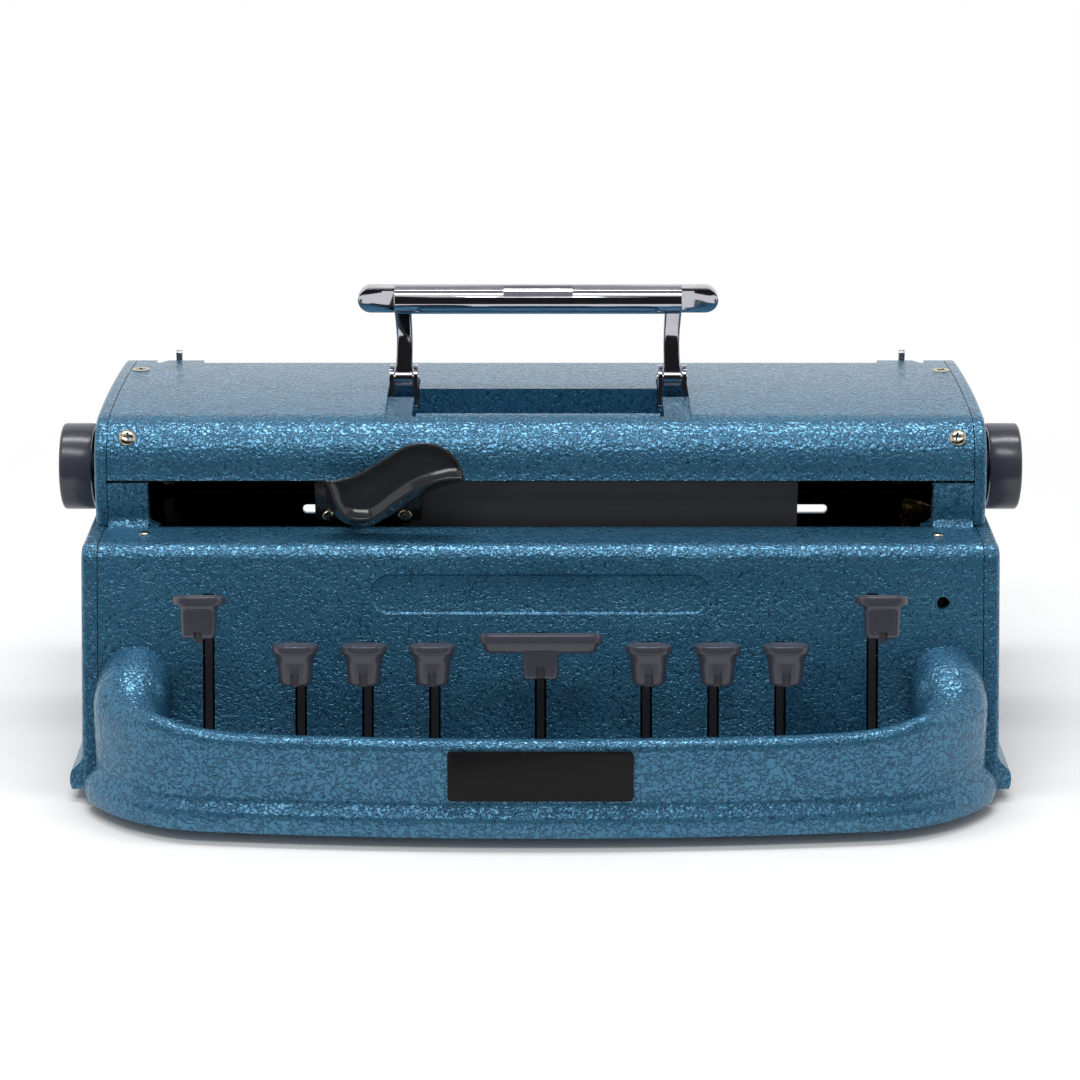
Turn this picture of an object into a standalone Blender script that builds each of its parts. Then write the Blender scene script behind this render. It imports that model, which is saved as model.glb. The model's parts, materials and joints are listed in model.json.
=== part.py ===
"""A braille typewriter: nine keys, a sliding embossing carriage, a paper feed and a folding handle.

Metres, Z up. X runs along the width, the front faces -Y, and the origin is on the table
under the middle of the machine. Every driving size stands here at the top.
"""

import math

import bmesh
import bpy
from mathutils import Matrix, Vector

# Clearances shared by every pair of pieces
GAP = 0.0003  # between pieces that touch
RUNNING = 0.0004  # round a shaft that turns or a bar that slides
OVERRUN = 0.003  # how far a cutter reaches past the wall it cuts
SUNK = 0.0010  # how far shapes that are joined reach into each other

# Overall shape of the housing
HALF_DEPTH = 0.1150
HOOD_HALF = 0.1725
CASTING_STEP = 0.0013  # the front casting is this much wider than the hood, to each side
CASTING_HALF = HOOD_HALF + CASTING_STEP
PLATE_THICK_UPPER = 0.0052
PLATE_THICK_LOWER = 0.0067
PLATE_OUT_UPPER = HOOD_HALF + PLATE_THICK_UPPER
PLATE_OUT_LOWER = CASTING_HALF + PLATE_THICK_LOWER
SKIRT_FLARE = 0.0050
SKIRT_TOP = 0.0180
SKIRT_BEAD = 0.0085
BASE_LOW = 0.0050
WALL = 0.0030
SHEET = 0.0022
FRONT_Y = SKIRT_FLARE - HALF_DEPTH

# Side profile: shelf, sloping front panel, cove and floor of the key well
SHELF_Z = 0.0980
SHELF_SET_BACK = 0.0785
SHELF_FRONT_Y = SHELF_SET_BACK - HALF_DEPTH
SHELF_DEEP = 0.0205
SILL_Y = SHELF_FRONT_Y + SHELF_DEEP
SHOULDER_R = 0.0070
PANEL_LEAN = math.radians(16.7)  # from upright, the foot forward
COVE_R = 0.0120
WELL_FLOOR_Z = 0.0140
SILL_DROP = 0.0060
SOCKET_DEEP = 0.0020

# Rear cover and reading rest
REAR_FLARE = 0.0040
REAR_Y = HALF_DEPTH - REAR_FLARE
REAR_OPEN_X = (-0.1045, 0.1260)
REAR_OPEN_Z = (0.0626, 0.0678)
REAR_OPEN_R = 0.0018

# Hood over the carriage
WINDOW_HIGH = 0.0190
LIP_Z = SHELF_Z + WINDOW_HIGH
HOOD_HIGH = 0.0222
HOOD_TOP_Z = LIP_Z + HOOD_HIGH
HOOD_FRONT_R = 0.0190
HOOD_LIP_SET = 0.0015  # how far the front rolls back above the lip
HOOD_CROWN = 0.0006
HOOD_FALL = 0.0024
HOOD_REAR_Z = HOOD_TOP_Z - HOOD_FALL
HOOD_REAR_GAP = 0.0230
HOOD_REAR_Y = REAR_Y - HOOD_REAR_GAP
HOOD_WING = 0.0060  # the ends of the hood reach further back
HOOD_WING_WIDE = 0.0285
HOOD_NOTCH_INSET = 0.0113
HOOD_NOTCH_WIDE = 0.0034
HOOD_NOTCH_DEEP = 0.0050
REST_DEEP = 0.0080
REST_FRONT_Y = REAR_Y - REST_DEEP
REST_DROP = 0.0047
REST_TOP = HOOD_TOP_Z - REST_DROP
REST_R = 0.0075
REST_HIGH = 0.0225
REAR_TOP = REST_TOP - REST_HIGH

# Window that the carriage lever reaches out of
CHEEK_WIDE = 0.0159
CHEEK_IN = HOOD_HALF - CHEEK_WIDE
CHEEK_DEEP = 0.0060
CHEEK_FILLET = 0.0050
CHEEK_DROP = 0.0012
CHEEK_TOP = LIP_Z - CHEEK_DROP

# Guard wall round the keys. The second turn's radius follows from the room in front of the panel
GUARD_R1 = 0.0150
GUARD_TURN1 = math.radians(38)
GUARD_TURN2 = math.radians(46)
GUARD_TOP = 0.0421
GUARD_THICK = 0.0085
GUARD_AHEAD = 0.0012  # from the panel's foot to where the wall starts to turn
HORN_TOP = 0.0668
HORN_THICK = 0.0290
HORN_FAN_R = 0.0424  # its section turns as on this radius, slower than the outer wall
HORN_STRAIGHT_SHARE = 0.10
HORN_FALL_SHARE = 0.50

# Base and feet
PAN_HALF = CASTING_HALF
PAN_REACH = 0.0290
PAN_FRONT = SHELF_FRONT_Y - PAN_REACH
PAN_CLEAR = 0.0025
PAN_REAR = REAR_Y - PAN_CLEAR
PAN_THICK = 0.0020
FOOT_R = 0.0090
FOOT_TOP_R = 0.0075
FOOT_INSET_SIDE = 0.0238
FOOT_INSET_FRONT = 0.0175
FOOT_INSET_REAR = 0.0165
FOOT_X = PAN_HALF - FOOT_INSET_SIDE
FOOT_FRONT_Y = PAN_FRONT + FOOT_INSET_FRONT
FOOT_REAR_Y = PAN_REAR - FOOT_INSET_REAR

# Return springs and guide comb inside
SPRING_R = 0.0022
SPRING_INSET = 0.0190
SPRING_BAR_Y = REAR_Y - SPRING_INSET
SPRING_BAR_DEEP = 0.0080
SPRING_BAR_HIGH = 0.0030
COMB_AHEAD = 0.0040
COMB_Y = SILL_Y - COMB_AHEAD
COMB_HIGH = 0.0440
COMB_SLOT_LOW = 0.0170

# Keys: a flat steel lever on a shaft at the back, and a moulded cap in front of the panel
PIVOT_AHEAD = 0.0200
PIVOT_Y = SPRING_BAR_Y - PIVOT_AHEAD
PIVOT_Z = 0.0295
KEY_SHAFT_R = 0.0022
LEVER_THICK = 0.0029
BAR_LOW = 0.0250
BAR_HIGH = 0.0340
RISER_INSET = 0.0010
TAIL_PAST = 0.0040
TAIL_Y = SPRING_BAR_Y + TAIL_PAST
RISER_DEPTH = 0.0080
ARM_HIGH = 0.0050
CAP_SET_BACK = 0.0330
CAP_Y = CAP_SET_BACK - HALF_DEPTH
ARM_PAST = 0.0040
ARM_END_Y = CAP_Y - ARM_PAST
SLOT_WIDE = 0.0045
SLOT_LOW = 0.0165
SLOT_SPARE = 0.0012
DOT_KEY_X = (0.0415, 0.0678, 0.0941)
END_KEY_X = 0.1303
BAR_END_SPARE = 0.0097
LEAN_LOW, LEAN_HIGH = math.radians(12), math.radians(16)  # the caps' tops lean back by this
DOT_CAP = dict(wide=0.0178, deep=0.0135, top=0.0713, low=0.0556, body=0.0144, arm=0.0560, lean=LEAN_LOW)
END_CAP = dict(wide=0.0204, deep=0.0150, top=0.0910, low=0.0748, body=0.0136, arm=0.0740, lean=LEAN_HIGH)
SPACE_CAP = dict(wide=0.0473, deep=0.0140, top=0.0755, low=0.0585, body=0.0132, arm=0.0595, lean=LEAN_HIGH)
CAP_RIM = 0.0032
CAP_TAPER_SHARE = 0.88
SPACE_LOBE_INSET = 0.0014
SPACE_LOBE_LOW = 0.0040

# Paper feed
ROLLER_Y = (SILL_Y + HOOD_REAR_Y) / 2  # midway, so that it keeps clear of the rails and the rear
ROLLER_Z = 0.1072
ROLLER_R = 0.0085
ROLLER_END_ROOM = 0.0275
ROLLER_HALF = HOOD_HALF - ROLLER_END_ROOM
SHAFT_R = 0.0030
KNOB_R = 0.0178
KNOB_GAP = 0.0063
KNOB_LONG = 0.0131
KNOB_IN = PLATE_OUT_UPPER + KNOB_GAP
KNOB_OUT = KNOB_IN + KNOB_LONG
KNOB_WALL = 0.0030
KNOB_HUB_R = 0.0065
DRUM_BEHIND = 0.0140
DRUM_Y = ROLLER_Y + DRUM_BEHIND
DRUM_Z = 0.0560
DRUM_R = 0.0165
GEAR_INSET = 0.0165
GEAR_X = GEAR_INSET - HOOD_HALF
GEAR_THICK = 0.0040
ROLLER_TEETH = 32
DRUM_TEETH = 38
TOOTH_ADDENDUM_SHARE = 0.75
TOOTH_DEDENDUM_SHARE = 1.05
TOOTH_ROOT_SHARE = 0.52
TOOTH_TIP_SHARE = 0.24

# Paper release: a rod with pinch rollers and a lever at each end
RELEASE_Z = 0.1210
RELEASE_ROD_R = 0.0025
SHOE_R = 0.0045
SHOE_WIDE = 0.0140
SHOE_X = (-0.0900, -0.0300, 0.0300, 0.0900)
SHOE_ANGLE = math.radians(47)
RELEASE_INSET = 0.0175
RELEASE_X = HOOD_HALF - RELEASE_INSET
RELEASE_STEM_PAST = 0.0098
RELEASE_STEM_Y = HOOD_REAR_Y + RELEASE_STEM_PAST
RELEASE_STEM_WIDE = 0.0030
RELEASE_SHARE = 0.4854  # how far the rod is on the way from the roller to the stems
RELEASE_Y = ROLLER_Y + RELEASE_SHARE * (RELEASE_STEM_Y - ROLLER_Y)
RELEASE_TIP = 0.0012
RELEASE_TOP_Z = HOOD_TOP_Z + RELEASE_TIP
RELEASE_ELBOW_Z = 0.1265
RELEASE_THICK = 0.0024
RELEASE_BOSS_R = 0.0050

# Carriage and what it runs on
RAIL_BEHIND = 0.0220
RAIL_Y = SILL_Y + RAIL_BEHIND
RAIL_HIGH_Z = 0.1055
RAIL_LOW_Z = 0.0790
RAIL_R = 0.0030
RACK_BEHIND = 0.0114
RACK_DEEP = 0.0030
RACK_FRONT_Y = SILL_Y + RACK_BEHIND
RACK_Z = (0.0900, 0.0935)
RACK_PITCH = 0.0062
RACK_TOOTH = 0.0012
RACK_TOOTH_TIP_SHARE = 0.45
HEAD_X = -0.0690
HEAD_WIDE = 0.0340
HEAD_AHEAD = 0.0070
HEAD_BEHIND = 0.0170
HEAD_Y = (RAIL_Y - HEAD_AHEAD, RAIL_Y + HEAD_BEHIND)
HEAD_Z = (0.0715, 0.1172)
BRACKET_X = (-0.0903, -0.0478)
BRACKET_BEHIND = 0.0048
BRACKET_Y = SILL_Y + BRACKET_BEHIND
BRACKET_THICK = 0.0018
BRACKET_LOW = 0.0990
BRACKET_CHAMFER = 0.0045
SHIELD_X = (-0.0560, 0.1031)
SHIELD_BEHIND = 0.0078
SHIELD_Y = SILL_Y + SHIELD_BEHIND
SHIELD_THICK = 0.0012
SHIELD_Z = (0.0860, 0.1165)
SHIELD_BOSS_X = (-0.0460, 0.0240, 0.0930)
LEVER_PIVOT_X = -0.0745
LEVER_PIVOT_Z = 0.1070
LEVER_AHEAD = 0.0160
LEVER_FRONT_Y = SILL_Y - LEVER_AHEAD
LEVER_DEEP = 0.0085
LEVER_STUD_R = 0.0024
LEVER_STUD_IN = 0.0040
LEVER_LEFT_X = -0.0859
LEVER_LOW_Z = 0.0994
LEVER_WIDE = 0.0557
LEVER_HIGH = 0.0368
LEVER_SHARES = (
    (0.00, 0.59), (0.01, 0.45), (0.06, 0.27), (0.13, 0.12), (0.20, 0.03), (0.27, 0.00), (0.36, 0.06),
    (0.47, 0.19), (0.66, 0.41), (0.83, 0.51), (0.99, 0.56), (1.00, 0.64), (0.95, 0.81), (0.87, 0.94),
    (0.70, 1.00), (0.58, 0.95), (0.44, 0.82), (0.30, 0.69), (0.19, 0.61), (0.09, 0.59),
)

# Margin stops at the back
MARGIN_INSET = 0.0100
MARGIN_Y = REAR_Y - MARGIN_INSET
MARGIN_Z = 0.0810
MARGIN_R = 0.0030
MARGIN_STOP_X = (-0.0900, 0.0980)
MARGIN_STOP_WIDE = 0.0090
MARGIN_STOP_R = 0.0055

# Mainspring drum, bell and clapper
MAINSPRING_INSET = 0.0350
MAINSPRING_Y = REAR_Y - MAINSPRING_INSET
MAINSPRING_Z = 0.0960
MAINSPRING_R = 0.0150
MAINSPRING_WIDE = 0.0085
BELL_INSET = 0.0390
BELL_Y = REAR_Y - BELL_INSET
BELL_Z = 0.0660
BELL_R = 0.0150
BELL_HIGH = 0.0170
BELL_GAP = 0.0008
BELL_WALL = 0.0012
STUD_R = 0.0020
HAMMER_BEHIND = 0.0240
HAMMER_Y = BELL_Y + HAMMER_BEHIND
HAMMER_Z = 0.0440
HAMMER_LONG = 0.0220
HAMMER_R = 0.0024
HAMMER_ARM = 0.0016
HAMMER_PAST = 0.0030
HAMMER_X = CASTING_HALF - BELL_GAP - BELL_HIGH + HAMMER_PAST
LEFT_STUDS = ((MAINSPRING_Y, MAINSPRING_Z),)
RIGHT_STUDS = ((BELL_Y, BELL_Z), (HAMMER_Y, HAMMER_Z))

# Carrying handle, upright
HANDLE_X = -0.0010
HANDLE_BEHIND = 0.0570
HANDLE_PIVOT_Y = SILL_Y + HANDLE_BEHIND
HANDLE_PIVOT_HIGH = 0.0048
HANDLE_PIVOT_Z = HOOD_TOP_Z + HANDLE_PIVOT_HIGH
HANDLE_HIGH = 0.0329
HANDLE_BAR_Z = HANDLE_PIVOT_Z + HANDLE_HIGH
GRIP_HALF = 0.0738
GRIP_R = 0.0050
LOBE_R = 0.0061
LOBE_LONG = 0.0150
ARM_X = 0.0552
ARM_WIDE = 0.0074
ARM_DEEP = 0.0070
PIN_R = 0.0016
EAR_THICK = 0.0018
EAR_DEEP = 0.0120
EAR_HIGH = 0.0052
EAR_FOOT = 0.0020
POCKET_DEEP = 0.0082
POCKET_FLOOR_Z = HOOD_TOP_Z - POCKET_DEEP
POCKET_WALL = 0.0015
POCKET_MARGIN = 0.0005
POCKET_AHEAD = 0.0085
POCKET_BEHIND = 0.0130
POCKET_Y = (HANDLE_PIVOT_Y - POCKET_AHEAD, HANDLE_PIVOT_Y + POCKET_BEHIND)
CHANNEL_DEEP = 0.0014  # the shallow way in front of each pocket that an arm folds over
RECESS_HALF = 0.0508
RECESS_BEHIND = 0.0195
RECESS_AHEAD = 0.0035
RECESS_Y = (SILL_Y + RECESS_BEHIND, HANDLE_PIVOT_Y - RECESS_AHEAD)
RECESS_DEEP = 0.0125
RECESS_FLOOR_Z = HOOD_TOP_Z - RECESS_DEEP

# Nameplates, left bare
LABEL_WIDE = 0.0707
LABEL_HIGH = 0.0205
LABEL_Z = 0.0290
LABEL_THICK = 0.0006
LABEL_CORNER = 0.0020
CARTOUCHE_HALF = 0.0667
CARTOUCHE_HIGH = 0.0152
CARTOUCHE_Z = 0.0800
CARTOUCHE_DEEP = 0.0006
SIDE_HOLE_INSET = 0.0158
SIDE_HOLE_Z = 0.0765
SIDE_HOLE_R = 0.0025

BLUE = ("hammertone_blue", (0.035, 0.115, 0.20, 1), 0.30, 0.35)
STEEL = ("bright_steel", (0.55, 0.55, 0.54, 1), 0.28, 1.0)
DARK_STEEL = ("black_oxide_steel", (0.05, 0.05, 0.05, 1), 0.45, 0.9)
CHROME = ("chrome", (0.75, 0.76, 0.78, 1), 0.08, 1.0)
GREY_PLASTIC = ("grey_moulded_plastic", (0.075, 0.075, 0.09, 1), 0.35, 0.0)
DARK_PLASTIC = ("dark_moulded_plastic", (0.035, 0.036, 0.042, 1), 0.2, 0.0)
RUBBER = ("black_rubber", (0.02, 0.02, 0.02, 1), 0.85, 0.0)
BRASS = ("brass", (0.62, 0.46, 0.18, 1), 0.3, 1.0)
LABEL_BLACK = ("black_label", (0.006, 0.006, 0.007, 1), 0.4, 0.0)
SHIELD_GREY = ("dark_grey_paint", (0.03, 0.03, 0.032, 1), 0.7, 0.0)
ZINC = ("zinc_plate", (0.42, 0.43, 0.44, 1), 0.4, 0.9)


def clear_scene():
    for obj in list(bpy.data.objects):
        bpy.data.objects.remove(obj, do_unlink=True)


def new_collection(name, hidden):
    made = bpy.data.collections.new(name)
    made.hide_render = hidden
    bpy.context.scene.collection.children.link(made)
    return made


clear_scene()
PIECES = new_collection("Braille typewriter", False)
CUTTERS = new_collection("Cutters and joined shapes", True)


def paint(finish):
    name, colour, roughness, metallic = finish
    found = bpy.data.materials.get(name)
    if found:
        return found
    made = bpy.data.materials.new(name)
    made.use_nodes = True
    shader = made.node_tree.nodes["Principled BSDF"]
    shader.inputs["Base Color"].default_value = colour
    shader.inputs["Roughness"].default_value = roughness
    shader.inputs["Metallic"].default_value = metallic
    made.diffuse_color = colour
    return made


def add(name, mesh, finish=None):
    """A new object: a piece when it has a finish, and otherwise a cutter or a shape to be joined."""
    obj = bpy.data.objects.new(name, mesh)
    if finish:
        PIECES.objects.link(obj)
        mesh.materials.append(paint(finish))
    else:
        CUTTERS.objects.link(obj)
        obj.hide_render = True
        obj.display_type = "WIRE"
    return obj


def from_bmesh(name, bm, finish=None, smooth=True):
    mesh = bpy.data.meshes.new(name)
    bm.to_mesh(mesh)
    bm.free()
    if smooth:
        mesh.shade_smooth()
        mesh.set_sharp_from_angle(angle=math.radians(35))
    return add(name, mesh, finish)


def box(name, low, high, finish=None):
    bm = bmesh.new()
    bmesh.ops.create_cube(bm, size=1)
    size = [b - a for a, b in zip(low, high)]
    middle = [(a + b) / 2 for a, b in zip(low, high)]
    bm.transform(Matrix.Translation(middle) @ Matrix.Diagonal((*size, 1)))
    return from_bmesh(name, bm, finish, smooth=False)


AXIS_TURN = {
    "X": Matrix(((0, 0, 1, 0), (1, 0, 0, 0), (0, 1, 0, 0), (0, 0, 0, 1))),
    "Y": Matrix(((1, 0, 0, 0), (0, 0, -1, 0), (0, 1, 0, 0), (0, 0, 0, 1))),
    "Z": Matrix.Identity(4),
}


def rod(name, axis, centre, radius, low, high, finish=None, sides=24):
    """A cylinder along an axis, from low to high on it, through centre, a pair on the other two axes."""
    bm = bmesh.new()
    bmesh.ops.create_cone(
        bm, cap_ends=True, segments=sides, radius1=radius, radius2=radius, depth=high - low
    )
    middle = (low + high) / 2
    at = {
        "X": (middle, centre[0], centre[1]),
        "Y": (centre[0], middle, centre[1]),
        "Z": (centre[0], centre[1], middle),
    }[axis]
    bm.transform(Matrix.Translation(at) @ AXIS_TURN[axis])
    return from_bmesh(name, bm, finish)


def turned(name, axis, centre, profile, finish=None, sides=32):
    """A revolved shape: profile is (radius, place along the axis), from the high end to the low end."""
    bm = bmesh.new()
    points = [bm.verts.new((radius, 0, along)) for radius, along in profile]
    for a, b in zip(points, points[1:]):
        bm.edges.new((a, b))
    if profile[0][0] > 0:
        bm.edges.new((points[-1], points[0]))
    obj = from_bmesh(name, bm, finish, smooth=False)
    spin = obj.modifiers.new("Turn", "SCREW")
    spin.steps = spin.render_steps = sides
    spin.use_merge_vertices = True
    spin.merge_threshold = 1e-6
    spin.use_smooth_shade = True
    place = {
        "X": (0, centre[0], centre[1]),
        "Y": (centre[0], 0, centre[1]),
        "Z": (centre[0], centre[1], 0),
    }[axis]
    obj.matrix_world = Matrix.Translation(place) @ AXIS_TURN[axis]
    return obj


def plate(name, plane, outlines, low, high, finish=None):
    """A flat outline, with any holes as further outlines, made thick from low to high across its plane."""
    curve = bpy.data.curves.new(name, "CURVE")
    curve.dimensions = "2D"
    curve.fill_mode = "BOTH"
    curve.extrude = (high - low) / 2
    for outline in outlines:
        spline = curve.splines.new("POLY")
        spline.points.add(len(outline) - 1)
        for point, (u, v) in zip(spline.points, outline):
            point.co = (u, v, 0, 1)
        spline.use_cyclic_u = True
    source = bpy.data.objects.new(name, curve)
    bpy.context.scene.collection.objects.link(source)
    graph = bpy.context.evaluated_depsgraph_get()
    mesh = bpy.data.meshes.new_from_object(source.evaluated_get(graph))
    bpy.data.objects.remove(source, do_unlink=True)
    bpy.data.curves.remove(curve)
    middle = (low + high) / 2
    lay = {
        "YZ": Matrix.Translation((middle, 0, 0)) @ AXIS_TURN["X"],
        "XZ": Matrix.Translation((0, middle, 0)) @ AXIS_TURN["Y"],
        "XY": Matrix.Translation((0, 0, middle)),
    }[plane]
    bm = bmesh.new()
    bm.from_mesh(mesh)
    bpy.data.meshes.remove(mesh)
    bmesh.ops.remove_doubles(bm, verts=bm.verts, dist=1e-6)
    bmesh.ops.recalc_face_normals(bm, faces=bm.faces)
    bm.transform(lay)
    return from_bmesh(name, bm, finish)


def sheet(name, path, low, high, thickness, inward, finish=None):
    """A bent sheet: a path in the YZ plane swept along X, then given its thickness to one side."""
    bm = bmesh.new()
    points = [bm.verts.new((low, y, z)) for y, z in path]
    edges = [bm.edges.new((a, b)) for a, b in zip(points, points[1:])]
    swept = bmesh.ops.extrude_edge_only(bm, edges=edges)["geom"]
    moved = [item for item in swept if isinstance(item, bmesh.types.BMVert)]
    bmesh.ops.translate(bm, verts=moved, vec=(high - low, 0, 0))
    bmesh.ops.recalc_face_normals(bm, faces=bm.faces)
    obj = from_bmesh(name, bm, finish)
    # The sweep faces one way along the path, so inward says on which side of it the metal lies
    first, second = path[0], path[1]
    middle = [(a + b) / 2 for a, b in zip(first, second)]
    normal = min(obj.data.polygons, key=lambda face: math.dist(face.center[1:], middle)).normal
    left = (-(second[1] - first[1]), second[0] - first[0])
    facing_left = normal.y * left[0] + normal.z * left[1] > 0
    solid = obj.modifiers.new("Thickness", "SOLIDIFY")
    solid.thickness = thickness
    solid.offset = 1 if facing_left == (inward == "left") else -1
    solid.use_even_offset = True
    return obj


def boolean(obj, other, operation):
    step = obj.modifiers.new(operation.title() + " " + other.name, "BOOLEAN")
    step.operation = operation
    step.object = other
    step.solver = "EXACT"


def cut(obj, *others):
    for other in others:
        boolean(obj, other, "DIFFERENCE")


def join(obj, *others):
    for other in others:
        boolean(obj, other, "UNION")


def round_edges(obj, width, segments=2, angle=40):
    bevel = obj.modifiers.new("Rounded edges", "BEVEL")
    bevel.width = width
    bevel.segments = segments
    bevel.limit_method = "ANGLE"
    bevel.angle_limit = math.radians(angle)
    return obj


def hang(obj, pivot):
    """Parents the piece to its joint's empty, without moving it."""
    obj.parent = pivot
    obj.matrix_parent_inverse = Matrix.Translation(pivot.location).inverted()
    return obj


def pivot(name, place):
    empty = bpy.data.objects.new(name, None)
    empty.empty_display_size = 0.01
    empty.location = place
    PIECES.objects.link(empty)
    return empty


def arc(centre, radius, start, end, steps):
    """Points on an arc in a plane, angles in degrees from the first axis."""
    found = []
    for i in range(steps + 1):
        angle = math.radians(start + (end - start) * i / steps)
        found.append((centre[0] + radius * math.cos(angle), centre[1] + radius * math.sin(angle)))
    return found


def circle(centre, radius, sides=20):
    return arc(centre, radius, 0, 360 * (sides - 1) / sides, sides - 1)


def rounded_box(low, high, radius, steps=4):
    """The outline of a rectangle with round corners, anticlockwise."""
    (x0, y0), (x1, y1) = low, high
    return (
        arc((x1 - radius, y0 + radius), radius, -90, 0, steps)
        + arc((x1 - radius, y1 - radius), radius, 0, 90, steps)
        + arc((x0 + radius, y1 - radius), radius, 90, 180, steps)
        + arc((x0 + radius, y0 + radius), radius, 180, 270, steps)
    )


def panel_y(z):
    """The front face of the sloping panel at height z."""
    top = SHELF_Z - SHOULDER_R + SHOULDER_R * math.sin(PANEL_LEAN)
    return SHELF_FRONT_Y - SHOULDER_R * math.cos(PANEL_LEAN) - math.tan(PANEL_LEAN) * (top - z)


def shoulder_arc(start, end):
    return arc((SHELF_FRONT_Y, SHELF_Z - SHOULDER_R), SHOULDER_R, start, end, 5)


def panel_path():
    """Shelf, rounded shoulder and sloping panel, from the window sill to the base."""
    shoulder = shoulder_arc(90, 180 - math.degrees(PANEL_LEAN))
    foot = (panel_y(BASE_LOW), BASE_LOW)
    return [(SILL_Y, SHELF_Z - SILL_DROP), (SILL_Y, SHELF_Z)] + shoulder + [foot]


def cove_path():
    """The hollow round from the panel to the floor of the key well."""
    low = WELL_FLOOR_Z + COVE_R
    touch = low - COVE_R * math.sin(PANEL_LEAN)
    middle = panel_y(touch) - COVE_R * math.cos(PANEL_LEAN)
    cove = arc((middle, low), COVE_R, -math.degrees(PANEL_LEAN), -90, 5)
    above = touch + COVE_R / 2
    return [(panel_y(above) + SUNK, above)] + cove + [(middle - SUNK, WELL_FLOOR_Z)]


def hood_path():
    """From the lip up the front, round the corner and back along the top."""
    centre = (SILL_Y + HOOD_LIP_SET + HOOD_FRONT_R, HOOD_TOP_Z - HOOD_FRONT_R)
    corner = arc(centre, HOOD_FRONT_R, 180, 90, 9)
    crown = ((centre[0] + HOOD_REAR_Y) / 2, HOOD_TOP_Z + HOOD_CROWN)
    back = (HOOD_REAR_Y + HOOD_WING, HOOD_REAR_Z)
    return [(SILL_Y, LIP_Z)] + corner + [crown, back]


def flared(centre_x, outer, inner, sign):
    """The skirt's section across a side plate, in x and z."""
    shape = [
        (inner, BASE_LOW),
        (outer + SKIRT_FLARE - GAP, BASE_LOW),
        (outer + SKIRT_FLARE, BASE_LOW + SKIRT_BEAD / 2),
        (outer + SKIRT_FLARE - GAP * 4, SKIRT_BEAD + GAP),
        (outer + SKIRT_FLARE / 3, SKIRT_TOP - SKIRT_FLARE),
        (outer, SKIRT_TOP),
        (inner, SKIRT_TOP),
    ]
    return [(centre_x + sign * x, z) for x, z in shape]


def rest_path():
    """The reading rest: a short flat, a round back corner and the drop to the rear cover."""
    centre = (REAR_Y - REST_R, REST_TOP - REST_R)
    return [(REST_FRONT_Y, REST_TOP)] + arc(centre, REST_R, 90, 0, 5) + [(REAR_Y, REAR_TOP + GAP)]


def bake(obj):
    """The evaluated mesh in world space, without modifiers."""
    graph = bpy.context.evaluated_depsgraph_get()
    mesh = bpy.data.meshes.new_from_object(obj.evaluated_get(graph))
    mesh.transform(obj.matrix_world)
    old = obj.data
    obj.modifiers.clear()
    obj.data = mesh
    obj.matrix_world = Matrix.Identity(4)
    bpy.data.meshes.remove(old)
    mesh.name = obj.name
    return obj


def bevel_face(obj, axis, place, width, segments=3):
    """Rounds the rim of the flat face that lies at this place on the axis."""
    bm = bmesh.new()
    bm.from_mesh(obj.data)
    near = GAP / 3
    rim = [
        edge
        for edge in bm.edges
        if all(abs(vert.co[axis] - place) < near for vert in edge.verts)
        and any(abs(face.normal[axis]) < 0.5 for face in edge.link_faces)
    ]
    bmesh.ops.bevel(
        bm, geom=rim, offset=width, segments=segments, affect="EDGES", profile=0.5, clamp_overlap=True
    )
    bm.to_mesh(obj.data)
    bm.free()
    return obj


def plate_inner(z):
    """How far out the inner face of a side plate lies at height z."""
    return (HOOD_HALF if z > SHELF_Z - SILL_DROP else CASTING_HALF) + GAP


def seat_end(z):
    """Where a shaft at height z ends, inside its socket in a side plate."""
    return plate_inner(z) + SOCKET_DEEP


# Front casting: panel, shelf, key well and guard wall in one piece


def guard_radii(room):
    """The radii of the second turn and of the front bow that fill this depth in front of the panel."""
    turn = GUARD_TURN1 + GUARD_TURN2
    slope = (1 - math.sin(turn)) / math.cos(turn)
    first_in = GUARD_R1 * (1 - math.cos(GUARD_TURN1))
    first_ahead = GUARD_R1 * math.sin(GUARD_TURN1)
    in_share = math.cos(GUARD_TURN1) - math.cos(turn)
    ahead_share = math.sin(turn) - math.sin(GUARD_TURN1)
    left = room - first_ahead - (CASTING_HALF - first_in) * slope
    second = left / (ahead_share - in_share * slope)
    bow = (CASTING_HALF - first_in - second * in_share) / math.cos(turn)
    return second, bow


def guard_stations():
    """Along the left half of the guard: place on the outer wall, way its section points, share of the way."""
    x, y = -CASTING_HALF, panel_y(BASE_LOW) - GUARD_AHEAD
    second, bow = guard_radii(y - FRONT_Y)
    found = [(x, y, 0.0, 0.0)]
    way = 0.0
    heading = 0.0
    for radius, sweep, steps in (
        (GUARD_R1, GUARD_TURN1, 4),
        (second, GUARD_TURN2, 10),
        (bow, math.pi / 2 - GUARD_TURN1 - GUARD_TURN2, 7),
    ):
        for _ in range(steps):
            after = heading + sweep / steps
            x += radius * (math.cos(heading) - math.cos(after))
            y -= radius * (math.sin(after) - math.sin(heading))
            way += radius * sweep / steps
            heading = after
            found.append((x, y, min(heading, way / HORN_FAN_R), way))
    return [(x, y, heading, way / found[-1][3]) for x, y, heading, way in found]


def ease(share):
    share = min(max(share, 0.0), 1.0)
    return share * share * (3 - 2 * share)


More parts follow.
